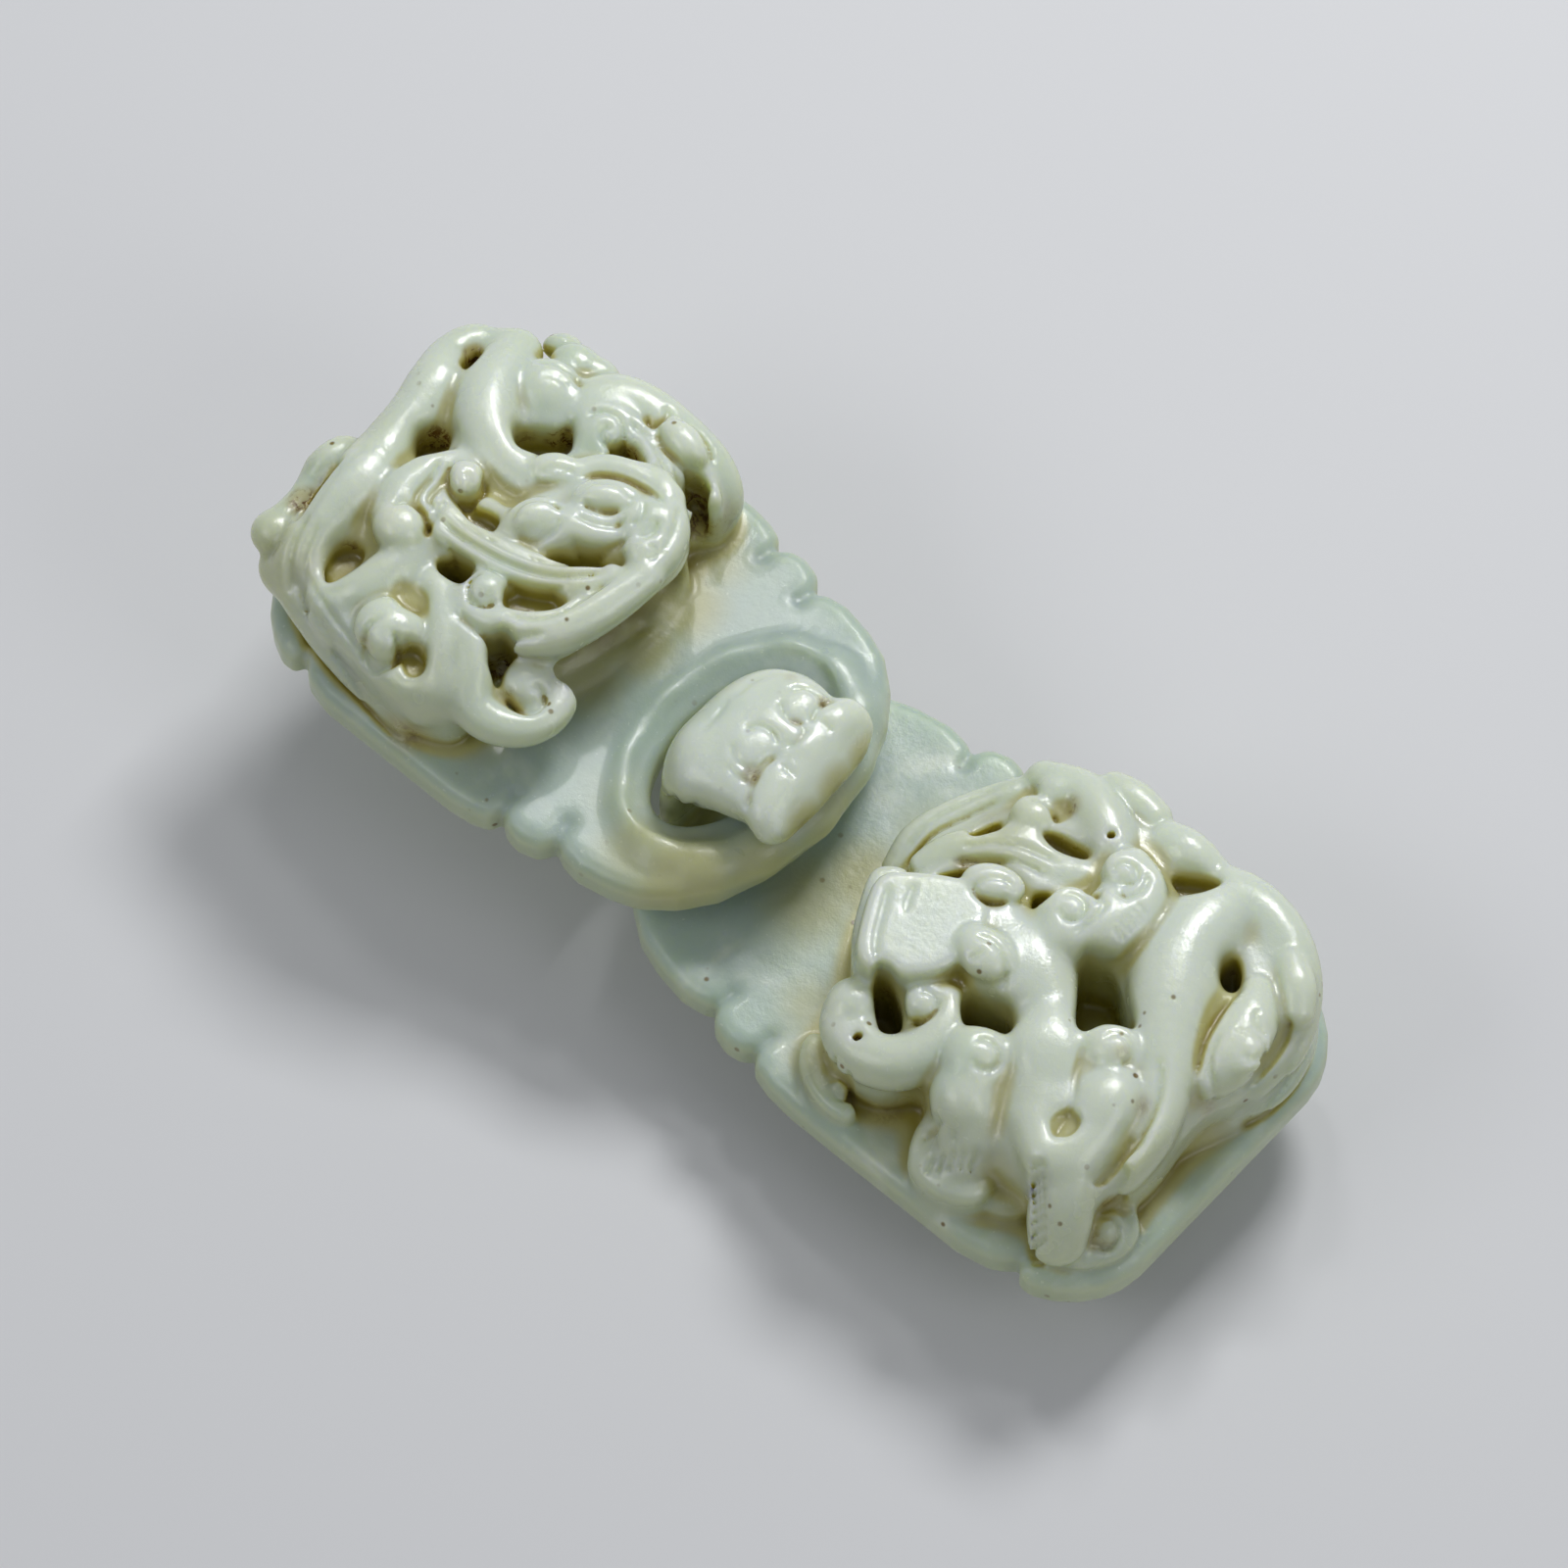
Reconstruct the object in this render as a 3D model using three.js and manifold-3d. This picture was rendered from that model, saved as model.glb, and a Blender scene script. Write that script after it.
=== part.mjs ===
// A Chinese jade belt buckle: two carved plaques, one with an oval loop, one with a dragon head hook.
// Millimetres, +Z up. The buckle runs along X, the loop plaque on the -X side, and it stands on its
// two buttons. Each plaque is one stone: plate, carving, button, and its loop or its hook.
import * as THREE from 'three';
import * as BufferGeometryUtils from 'three/addons/utils/BufferGeometryUtils.js';
import Module from 'manifold-3d';

const wasm = await Module();
wasm.setup();

// Driving dimensions.
const plateWidth = 46.4;
const plateThickness = 5;
const edgeRounding = 1.7;
const loopPlateLength = 61.6;
const hookPlateLength = 71;
const loopEndLength = 18.2;
const hookEndLength = 20;
const cuspLobeLength = 6.5;
const cornerLobeLength = 9.5;

const strapGap = 5;
const plateGap = 3;
const buttonDiameter = 20;
const buttonThickness = 4;
const buttonRounding = 1.2;
const stemDiameter = 9;
const loopStemSetback = 22;
const hookStemSetback = 24;

const openingLength = 11.2;
const openingWidth = 20.8;
const barWidth = 7;
const dishDepth = 1.7;
const collarHeight = 0.7;
const collarRadius = 1.6;
const collarMargin = 3;

const neckThickness = 5;
const neckWidth = 15;
const neckClearance = 1.2;
const headClearance = 1.6;
const headLength = 16.4;
const headWidth = 17.6;
const headHeight = 7;
const headShift = 0.65;
const headSetback = 1.6;

const carvingLength = 50;
const carvingBreadth = 50;
const carvingRise = 10;
const limbRadius = 3;
const moundHeight = 9;
const moundRounding = 3;

const overrun = 1;

// Heights over the table.
const hookPlateBottom = buttonThickness + strapGap;
const hookPlateTop = hookPlateBottom + plateThickness;
const loopPlateBottom = hookPlateTop + plateGap;
const loopPlateTop = loopPlateBottom + plateThickness;

// Places along the buckle, counted from the outer edge of the loop's end bar.
const barOuterX = 0;
const barInnerX = barOuterX - barWidth;
const openingCentreX = barInnerX - openingLength / 2;
const openingOuterX = barInnerX - openingLength;
const neckCentreX = openingOuterX + neckClearance + neckThickness / 2;
const loopFarX = barOuterX - loopPlateLength;
const hookTipX = neckCentreX - neckThickness / 2;
const hookFarX = hookTipX + hookPlateLength;

const jadePlate = new THREE.MeshStandardMaterial({ color: 0xb9cabb, roughness: 0.25, metalness: 0 });
const jadeCarving = new THREE.MeshStandardMaterial({ color: 0xc9d2bd, roughness: 0.25, metalness: 0 });

// A closed geometry as a solid that can be joined and cut.
function solid(geometry) {
  const plain = geometry.index ? geometry.toNonIndexed() : geometry.clone();
  for (const name of Object.keys(plain.attributes)) {
    if (name !== 'position') plain.deleteAttribute(name);
  }
  const merged = BufferGeometryUtils.mergeVertices(plain);
  return new wasm.Manifold(new wasm.Mesh({
    numProp: 3,
    vertProperties: new Float32Array(merged.attributes.position.array),
    triVerts: new Uint32Array(merged.index.array),
  }));
}

function joined(solids) {
  return solids.reduce((whole, next) => whole.add(next));
}

function geometryOf(shape) {
  const mesh = shape.getMesh();
  const geometry = new THREE.BufferGeometry();
  geometry.setAttribute('position', new THREE.BufferAttribute(new Float32Array(mesh.vertProperties), 3));
  geometry.setIndex(new THREE.BufferAttribute(new Uint32Array(mesh.triVerts), 1));
  return geometry;
}

// A round limb through rows of [x, y, z, radius], with rounded ends.
function limb(rows, sides = 6, stepsPerRow = 1.3) {
  const path = new THREE.CatmullRomCurve3(rows.map(([x, y, z]) => new THREE.Vector3(x, y, z)));
  const girth = new THREE.CatmullRomCurve3(rows.map((row) => new THREE.Vector3(row[3], 0, 0)));
  const steps = Math.ceil((rows.length - 1) * stepsPerRow);
  const stations = [];
  for (let i = 0; i <= steps; i += 1) {
    const share = i / steps;
    stations.push({ centre: path.getPoint(share), tangent: path.getTangent(share), radius: girth.getPoint(share).x });
  }
  const first = stations[0];
  const last = stations[steps];
  const rings = [];
  rings.push(capRing(first, -1, Math.PI / 4));
  for (const station of stations) rings.push(station);
  rings.push(capRing(last, 1, Math.PI / 4));

  const positions = [];
  let normal = new THREE.Vector3(0, 0, 1);
  if (Math.abs(first.tangent.z) > Math.SQRT1_2) normal = new THREE.Vector3(0, 1, 0);
  for (const ring of rings) {
    normal = normal.clone().addScaledVector(ring.tangent, -normal.dot(ring.tangent)).normalize();
    const binormal = new THREE.Vector3().crossVectors(ring.tangent, normal);
    for (let side = 0; side < sides; side += 1) {
      const turn = (2 * Math.PI * side) / sides;
      const point = ring.centre.clone()
        .addScaledVector(normal, ring.radius * Math.cos(turn))
        .addScaledVector(binormal, ring.radius * Math.sin(turn));
      positions.push(point.x, point.y, point.z);
    }
  }
  const startPole = first.centre.clone().addScaledVector(first.tangent, -first.radius);
  const endPole = last.centre.clone().addScaledVector(last.tangent, last.radius);
  positions.push(startPole.x, startPole.y, startPole.z, endPole.x, endPole.y, endPole.z);

  const indices = [];
  const startIndex = rings.length * sides;
  const lastRing = (rings.length - 1) * sides;
  for (let side = 0; side < sides; side += 1) {
    const next = (side + 1) % sides;
    indices.push(startIndex, next, side);
    indices.push(startIndex + 1, lastRing + side, lastRing + next);
    for (let ring = 0; ring < rings.length - 1; ring += 1) {
      const low = ring * sides;
      const high = low + sides;
      indices.push(low + side, low + next, high + next, low + side, high + next, high + side);
    }
  }
  const geometry = new THREE.BufferGeometry();
  geometry.setAttribute('position', new THREE.Float32BufferAttribute(positions, 3));
  geometry.setIndex(indices);
  return geometry;
}

function capRing(station, direction, angle) {
  return {
    centre: station.centre.clone().addScaledVector(station.tangent, direction * station.radius * Math.sin(angle)),
    tangent: station.tangent,
    radius: station.radius * Math.cos(angle),
  };
}

function ellipsoid(centre, halfSizes, turn = 0, columns = 8, rows = 5) {
  const geometry = new THREE.SphereGeometry(1, columns, rows);
  geometry.scale(...halfSizes);
  geometry.rotateZ(turn);
  geometry.translate(...centre);
  return geometry;
}

// Half of a plate's outline, from the far edge to the tip, as [length from the far edge, half width]
// steps. The far corner is one lobe, the side is straight, then a small lobe between two cusps,
// and the end is one large round lobe.
function plateOutline(length, endLength) {
  const half = plateWidth / 2;
  const cornerEnd = cornerLobeLength;
  const cuspOuter = length - endLength;
  const cuspInner = cuspOuter - cuspLobeLength;
  const cornerShares = [
    [0, 0.56], [0.04, 0.66], [0.14, 0.75], [0.3, 0.835], [0.5, 0.9], [0.72, 0.945], [0.88, 0.945], [1, 0.915],
  ];
  const sideShares = [[0.07, 0.97], [0.17, 1], [0.8, 1], [0.9, 0.985], [0.97, 0.955], [1, 0.92]];
  const lobeShares = [[0.2, 0.94], [0.45, 0.95], [0.75, 0.925], [1, 0.87]];
  const endShares = [[0.18, 0.89], [0.38, 0.86], [0.55, 0.81], [0.72, 0.7], [0.86, 0.55], [0.95, 0.34], [0.99, 0.15]];
  const points = [];
  for (const [along, across] of cornerShares) points.push([along * cornerEnd, across * half]);
  for (const [along, across] of sideShares) {
    points.push([cornerEnd + along * (cuspInner - cornerEnd), across * half]);
  }
  for (const [along, across] of lobeShares) points.push([cuspInner + along * cuspLobeLength, across * half]);
  for (const [along, across] of endShares) points.push([cuspOuter + along * endLength, across * half]);
  return points;
}

// A plate with rounded edges. Its far edge lies at farX and its tip points along the sign of toward.
function plateSolid(length, endLength, farX, toward, bottom) {
  const points = plateOutline(length, endLength);
  const outline = points.map(([along, across]) => [farX + toward * along, across]);
  outline.push([farX + toward * length, 0]);
  for (const [along, across] of [...points].reverse()) outline.push([farX + toward * along, -across]);
  const inset = new THREE.Shape(outline.map(([x, y]) => new THREE.Vector2(x, y)));
  const geometry = new THREE.ExtrudeGeometry(inset, {
    depth: plateThickness - 2 * edgeRounding,
    bevelThickness: edgeRounding,
    bevelSize: edgeRounding,
    bevelOffset: -edgeRounding,
    bevelSegments: 3,
  });
  geometry.translate(0, 0, bottom + edgeRounding);
  return solid(geometry);
}

// The button on the back: a stem and a flat round disc with softened edges, turned as one profile.
function buttonSolid(centreX, plateBottom) {
  const radius = buttonDiameter / 2;
  const stem = stemDiameter / 2;
  const profile = [
    [0, 0],
    [radius - buttonRounding, 0],
    [radius, buttonRounding],
    [radius, buttonThickness - buttonRounding],
    [radius - buttonRounding, buttonThickness],
    [stem + buttonRounding, buttonThickness],
    [stem, buttonThickness + buttonRounding],
    [stem, plateBottom - buttonRounding],
    [stem + buttonRounding, plateBottom],
    [stem + buttonRounding, plateBottom + overrun],
    [0, plateBottom + overrun],
  ];
  const geometry = new THREE.LatheGeometry(profile.map(([r, z]) => new THREE.Vector2(r, z)), 28);
  geometry.rotateX(Math.PI / 2);
  geometry.translate(centreX, 0, 0);
  return solid(geometry);
}

// Carving rows are [along, across, rise, radius]: shares of the carving's length counted from the
// plate's far edge, of its breadth counted from the middle, of its rise over the plate, and of the
// radius of a usual limb.
function carvingPlace(row, frame) {
  const [along, across, rise, radius] = row;
  return [
    frame.farX + frame.toward * along * carvingLength,
    across * carvingBreadth,
    frame.top + rise * carvingRise,
    radius * limbRadius,
  ];
}

function carvedLimbs(limbShares, frame) {
  return limbShares.map((rows) => solid(limb(rows.map((row) => carvingPlace(row, frame)))));
}

// Knob rows add a stretch along and a turn in the plane to a carving row.
function carvedKnobs(knobShares, frame) {
  return knobShares.map(([along, across, rise, radius, stretch = 1, turn = 0]) => {
    const [x, y, z, r] = carvingPlace([along, across, rise, radius], frame);
    return solid(ellipsoid([x, y, z], [r * stretch, r, r], turn));
  });
}

// Pit rows are knob rows at the pit's floor. Each pit is a drilled oval hole, open above.
function carvedPits(pitShares, frame) {
  return pitShares.map(([along, across, floor, radius, stretch = 1, turn = 0]) => {
    const [x, y, bottom, r] = carvingPlace([along, across, floor, radius], frame);
    const height = frame.top + 2 * carvingRise - bottom;
    const geometry = new THREE.CylinderGeometry(1, 1, height, 12);
    geometry.rotateX(Math.PI / 2);
    geometry.scale(r * stretch, r, 1);
    geometry.rotateZ(turn);
    geometry.translate(x, y, bottom + height / 2);
    return solid(geometry);
  });
}

const throughShare = -(plateThickness + overrun) / carvingRise;
const loopLimbShares = [
  // The arch along the upper rim, from its spiral down to the plate.
  [[0.27, 0.28, 0.8, 0.9], [0.28, 0.34, 0.8, 1], [0.33, 0.385, 0.8, 1], [0.42, 0.405, 0.8, 0.95],
    [0.52, 0.4, 0.75, 0.9], [0.58, 0.37, 0.65, 0.9], [0.625, 0.335, 0.45, 0.8], [0.635, 0.31, 0.15, 0.75]],
  // The band inside it, which runs into the crest.
  [[0.35, 0.31, 0.9, 0.6], [0.4, 0.345, 0.9, 0.65], [0.46, 0.335, 0.95, 0.65], [0.54, 0.29, 1, 0.6]],
  // The thick body at the far end, down to the middle.
  [[0.09, 0.31, 0.7, 1.1], [0.12, 0.23, 0.85, 1.3], [0.15, 0.155, 0.9, 1.35], [0.21, 0.09, 0.95, 1.35],
    [0.3, 0.06, 1, 1.3], [0.37, 0.08, 1, 1.3]],
  // The outer band round the far end, which becomes the low tail along the lower side.
  [[0.08, 0.31, 0.7, 0.8], [0.03, 0.285, 0.8, 0.8], [0.015, 0.23, 0.85, 0.8], [0.02, 0.16, 0.85, 0.95],
    [0.03, 0.08, 0.85, 1], [0.04, -0.01, 0.85, 1], [0.055, -0.1, 0.85, 1.1], [0.065, -0.2, 0.8, 1.05],
    [0.075, -0.29, 0.65, 0.95], [0.11, -0.35, 0.4, 0.85], [0.19, -0.385, 0.15, 0.7], [0.3, -0.405, 0.12, 0.65],
    [0.42, -0.41, 0.1, 0.6]],
  // The strap of the curled paw.
  [[0.23, 0.03, 1.05, 0.95], [0.185, 0.01, 1.05, 0.95], [0.165, -0.05, 1.05, 0.95], [0.17, -0.12, 1, 1]],
  // The ridge between the two small pits.
  [[0.26, -0.11, 0.95, 1.05], [0.26, -0.19, 0.9, 1], [0.245, -0.265, 0.8, 1.05], [0.23, -0.32, 0.6, 1.1]],
  // The two strands of the long leaf, which meet at the snout.
  [[0.22, -0.065, 1.05, 0.75], [0.29, -0.075, 1.05, 0.7], [0.37, -0.08, 1.05, 0.7], [0.455, -0.065, 1.1, 0.65],
    [0.53, -0.045, 1.15, 0.6], [0.585, 0.005, 1.2, 0.55], [0.62, 0.06, 1.2, 0.5]],
  [[0.425, -0.165, 0.95, 0.65], [0.465, -0.19, 0.95, 0.75], [0.54, -0.175, 1, 0.85], [0.6, -0.12, 1.05, 0.9],
    [0.64, -0.05, 1.1, 0.9], [0.665, 0.025, 1.15, 0.8], [0.675, 0.085, 1.2, 0.75]],
  // The limb that ends in the curl loop.
  [[0.34, -0.18, 0.9, 0.95], [0.405, -0.21, 0.85, 1.05], [0.475, -0.255, 0.8, 1.05], [0.535, -0.295, 0.7, 0.9],
    [0.6, -0.32, 0.6, 0.75], [0.66, -0.305, 0.55, 0.7], [0.695, -0.245, 0.55, 0.7], [0.685, -0.185, 0.55, 0.7],
    [0.65, -0.14, 0.6, 0.7]],
  // The muzzle of the main head, a thick bar across the front.
  [[0.6, 0.2, 1, 1.7], [0.64, 0.11, 1, 1.5]],
  // The stained ledge between the far band and its lower ball.
  [[0.0, -0.12, 0.75, 0.85], [0.015, -0.2, 0.7, 0.65], [0.02, -0.28, 0.6, 0.75]],
];
const loopKnobShares = [
  // Spiral, oval knob, haunch, its upper lump and the small ear.
  [0.35, 0.3, 0.9, 0.95], [0.505, 0.385, 0.95, 0.8, 1.5, -0.1], [0.205, 0.305, 0.8, 1.5],
  [0.21, 0.385, 0.6, 1.2], [0.135, 0.42, 0.5, 0.7, 1.4, 0.5],
  // The two balls of the curled paw and the boss at the far edge.
  [0.23, 0.01, 1.05, 1.2], [0.21, -0.14, 1, 1.3], [0.0, -0.11, 0.75, 0.95],
  // The curl ball, the ball inside the loop, the shoulder, the lower haunch and the bottom lobes.
  [0.43, -0.135, 1, 0.9], [0.635, -0.19, 0.5, 1.1], [0.335, -0.33, 0.65, 1.6], [0.51, -0.34, 0.6, 1.5],
  [0.235, -0.35, 0.45, 1.2], [0.41, -0.37, 0.35, 1.1],
  // Skull, snout, ear and eyes of the main head.
  [0.44, 0.12, 0.92, 1.8], [0.53, 0.15, 0.93, 1.9, 1.1], [0.355, 0.155, 1.05, 0.8, 1.5, 0.4],
  [0.505, 0.145, 1.38, 0.65, 1.4, 0.6], [0.43, 0.06, 1.2, 0.75, 1.2, 1.2],
];
const loopPitShares = [
  // Beside the ear, inside the arch, behind its end, and inside the outer band.
  [0.29, 0.195, 0.16, 0.9, 1.05], [0.453, 0.284, 0.32, 0.42, 1.5], [0.595, 0.325, 0.08, 0.6, 1.2],
  [0.125, 0.04, 0.36, 0.7, 0.9],
  // Under the leaf, and the two holes that go through the plate.
  [0.347, -0.148, throughShare, 0.42, 1.8], [0.545, 0.016, throughShare, 0.37, 2.9, 0.6],
  [0.53, -0.109, 0.7, 0.45, 1.9, 0.2],
  // Along the lower side, and inside the curl loop.
  [0.344, -0.235, 0.54, 0.36, 2.2, Math.PI / 2], [0.161, -0.272, 0.22, 0.55, 1.6, Math.PI / 2],
  [0.44, -0.347, 0.34, 0.42, 1.1], [0.557, -0.225, 0.04, 0.5, 1.5, Math.PI / 2],
];
const loopMoundShares = [
  [0.024, 0.274], [0.104, 0.314], [0.184, 0.37], [0.324, 0.4], [0.464, 0.404], [0.574, 0.354], [0.634, 0.244],
  [0.634, 0.084], [0.604, -0.056], [0.564, -0.186], [0.564, -0.276], [0.574, -0.376], [0.464, -0.412],
  [0.264, -0.4], [0.124, -0.38], [0.064, -0.276], [0.044, -0.096], [0.014, 0.104],
];

const hookLimbShares = [
  // The arch along the upper rim, down to the far corner.
  [[0.4, 0.405, 0.85, 0.95], [0.31, 0.415, 0.9, 1], [0.24, 0.405, 0.9, 1], [0.17, 0.38, 0.85, 0.9],
    [0.11, 0.34, 0.7, 0.85], [0.08, 0.3, 0.4, 0.8], [0.07, 0.27, 0.15, 0.7]],
  // The thick body, from the upper rim to the tail end.
  [[0.32, 0.38, 0.9, 1.4], [0.33, 0.3, 0.95, 1.8], [0.3, 0.215, 1, 1.9], [0.25, 0.135, 1, 1.7],
    [0.19, 0.07, 0.95, 1.35], [0.145, -0.005, 0.9, 1.1], [0.12, -0.08, 0.8, 0.95], [0.115, -0.16, 0.7, 0.85],
    [0.135, -0.235, 0.55, 0.65]],
  // The low striated band along the far edge.
  [[0.1, 0.33, 0.12, 0.6], [0.07, 0.265, 0.12, 0.65], [0.05, 0.2, 0.12, 0.65], [0.05, 0.135, 0.1, 0.6]],
  // The hind leg.
  [[0.3, -0.055, 1, 1.8], [0.235, -0.12, 0.95, 1.75], [0.22, -0.2, 0.85, 1.45], [0.2, -0.27, 0.7, 1.3],
    [0.175, -0.325, 0.5, 1.15], [0.15, -0.365, 0.3, 1.05], [0.145, -0.385, 0.15, 0.95]],
  // The neck and body behind the main head.
  [[0.68, 0.015, 1, 1.35], [0.59, 0.005, 1, 1.3], [0.51, -0.035, 1, 1.35], [0.425, -0.08, 1.05, 1.5],
    [0.345, -0.12, 1.05, 1.65], [0.29, -0.17, 0.95, 1.5]],
  // The lower leg with its flat foot.
  [[0.495, -0.205, 0.9, 1.5], [0.455, -0.265, 0.75, 1.3], [0.4, -0.3, 0.55, 1.2], [0.375, -0.34, 0.35, 1.1],
    [0.385, -0.395, 0.15, 0.95]],
  // The curl loop at the lower left.
  [[0.775, -0.25, 0.7, 0.9], [0.77, -0.29, 0.65, 0.85], [0.735, -0.325, 0.65, 0.85], [0.67, -0.335, 0.65, 0.9],
    [0.6, -0.31, 0.75, 0.95], [0.565, -0.26, 0.85, 0.9], [0.575, -0.19, 0.95, 0.85], [0.61, -0.155, 0.95, 0.75]],
  // The snout edge of the main head and the jaw under it.
  [[0.85, -0.03, 1.05, 1.15], [0.8, -0.15, 1.05, 1.1]],
  [[0.885, -0.03, 0.7, 0.85], [0.84, -0.15, 0.7, 0.8]],
  // The two arched strands at the upper left.
  [[0.905, 0.05, 0.35, 0.6], [0.91, 0.1, 0.5, 0.65], [0.905, 0.17, 0.5, 0.65], [0.885, 0.25, 0.5, 0.65],
    [0.845, 0.31, 0.55, 0.65], [0.81, 0.345, 0.6, 0.7]],
  [[0.86, 0.08, 0.85, 0.75], [0.81, 0.16, 0.85, 0.8], [0.74, 0.22, 0.85, 0.8], [0.655, 0.245, 0.9, 0.8],
    [0.575, 0.255, 0.95, 0.75]],
  // The upper left body and the two knobs over it.
  [[0.8, 0.385, 0.7, 0.85], [0.725, 0.385, 0.75, 1], [0.635, 0.365, 0.8, 1.05]],
  [[0.66, 0.42, 1, 0.75], [0.55, 0.42, 1, 0.75]],
  [[0.505, 0.42, 1, 0.8], [0.425, 0.425, 0.95, 0.8]],
  // The curled paw over the middle.
  [[0.55, 0.325, 1.15, 0.8], [0.49, 0.32, 1.15, 0.8], [0.455, 0.265, 1.15, 0.8], [0.45, 0.185, 1.15, 0.8],
    [0.47, 0.115, 1.15, 0.8], [0.52, 0.085, 1.15, 0.8], [0.57, 0.105, 1.15, 0.8]],
  // The small second head and the knob over it.
  [[0.155, 0.22, 0.9, 1.25], [0.115, 0.16, 0.95, 1.4], [0.115, 0.105, 0.9, 1.1]],
  [[0.155, 0.38, 0.95, 0.75], [0.09, 0.315, 0.85, 0.75]],
  // The low curl on the plate.
  [[0.8, -0.33, 0.08, 0.65], [0.76, -0.38, 0.08, 0.7], [0.69, -0.39, 0.08, 0.65]],
];
const hookKnobShares = [
  // The box of the main head and its two ovals.
  [0.77, -0.07, 0.8, 1.85, 1.05], [0.71, -0.06, 0.85, 1.65, 1.1], [0.65, 0.085, 1.15, 1, 1.4, 0.4],
  [0.6, -0.065, 1.2, 1, 1.35, 0],
  // Balls of the curl loop and of the upper left strands.
  [0.655, -0.185, 0.9, 0.8], [0.78, -0.26, 0.7, 1], [0.8, 0.34, 0.8, 0.85], [0.765, 0.285, 0.9, 0.85],
  // Claws of the curled paw.
  [0.555, 0.295, 1.15, 0.8], [0.56, 0.165, 1.15, 0.9], [0.505, 0.185, 1.15, 1], [0.51, 0.25, 1.1, 1],
  // The mass under the knobs, the paw at the hind leg and the low paw.
  [0.555, 0.38, 0.8, 1.1], [0.095, -0.28, 0.22, 1], [0.51, -0.32, 0.05, 0.75, 1.3],
];
const hookPitShares = [
  // The large pit in the middle, the one behind the head and the one under its jaw.
  [0.374, 0.038, 0, 0.7, 2.1, -0.55], [0.519, -0.126, 0, 0.6, 1.5], [0.693, -0.229, 0.03, 0.5, 1.9, -0.9],
  // The recess between the legs, and the hole through the plate in the upper corner.
  [0.32, -0.3, 0.12, 0.45, 2.3, -0.6], [0.229, 0.272, throughShare, 0.5],
  // Small pits under the knobs, between the strands and beside the paw.
  [0.401, 0.364, 0.46, 0.42, 1.2], [0.663, 0.266, 0.52, 0.28, 3.4], [0.607, 0.132, 0.16, 0.38, 1.2],
];
const hookMoundShares = [
  [0.805, 0.321], [0.706, 0.38], [0.548, 0.409], [0.39, 0.415], [0.252, 0.419], [0.133, 0.37], [0.074, 0.281],
  [0.074, 0.163], [0.094, 0.044], [0.104, -0.074], [0.114, -0.193], [0.163, -0.291], [0.262, -0.317],
  [0.341, -0.262], [0.41, -0.317], [0.509, -0.311], [0.558, -0.291], [0.627, -0.335], [0.726, -0.323],
  [0.745, -0.232], [0.765, -0.153], [0.834, -0.114], [0.864, 0.024], [0.834, 0.163],
];

// The mound of stone left on the plate under the openwork: a smooth outline of [along, across] shares
// with a rounded shoulder.
function moundSolid(moundShares, frame) {
  const corners = moundShares.map(([along, across]) => {
    const [x, y] = carvingPlace([along, across, 0, 0], frame);
    return new THREE.Vector3(x, y, 0);
  });
  const curve = new THREE.CatmullRomCurve3(corners, true);
  const outline = curve.getPoints(2 * corners.length).slice(1).map(({ x, y }) => new THREE.Vector2(x, y));
  const geometry = new THREE.ExtrudeGeometry(new THREE.Shape(outline), {
    depth: moundHeight - moundRounding + overrun,
    bevelThickness: moundRounding,
    bevelSize: moundRounding,
    bevelOffset: -moundRounding,
    bevelSegments: 3,
  });
  geometry.translate(0, 0, frame.top - overrun);
  return solid(geometry).trimByPlane([0, 0, 1], frame.top - overrun);
}

function carvingSolid(limbShares, knobShares, moundShares, frame) {
  return joined([
    moundSolid(moundShares, frame),
    ...carvedLimbs(limbShares, frame),
    ...carvedKnobs(knobShares, frame),
  ]);
}

// The oval opening, its shallow dish and the raised collar round it, all on the loop plate.
function ovalBar(centreX, halfLength, halfWidth, bottom, top) {
  const geometry = new THREE.CylinderGeometry(1, 1, top - bottom, 32);
  geometry.rotateX(Math.PI / 2);
  geometry.scale(halfLength, halfWidth, 1);
  geometry.translate(centreX, 0, (top + bottom) / 2);
  return solid(geometry);
}

// The collar's ridge: a round ring drawn out to an oval, sunk in the plate but for its crest.
function collarSolid() {
  const halfLength = (barWidth + openingLength + collarMargin) / 2 - collarRadius;
  const halfWidth = openingWidth / 2 + collarMargin;
  const geometry = new THREE.TorusGeometry(1, collarRadius / halfWidth, 8, 32);
  geometry.scale(halfLength, halfWidth, halfWidth);
  geometry.translate(barOuterX - collarRadius - halfLength, 0, loopPlateTop + collarHeight - collarRadius);
  return solid(geometry);
}

function loopPlaque() {
  const frame = { farX: loopFarX, toward: 1, top: loopPlateTop };
  const plate = plateSolid(loopPlateLength, loopEndLength, loopFarX, 1, loopPlateBottom);
  const dish = solid(ellipsoid(
    [openingCentreX, 0, loopPlateTop + collarHeight],
    [openingLength / 2 + collarMargin, openingWidth / 2 + collarMargin, dishDepth + collarHeight],
    0, 24, 12,
  ));
  const opening = ovalBar(
    openingCentreX, openingLength / 2, openingWidth / 2, loopPlateBottom - overrun, loopPlateTop + overrun,
  );
  const ring = plate.add(collarSolid()).subtract(dish).subtract(opening);
  const carving = carvingSolid(loopLimbShares, loopKnobShares, loopMoundShares, frame);
  const pierced = ring.add(carving).subtract(joined(carvedPits(loopPitShares, frame)));
  return pierced.add(buttonSolid(loopFarX + loopStemSetback, loopPlateBottom));
}

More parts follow.
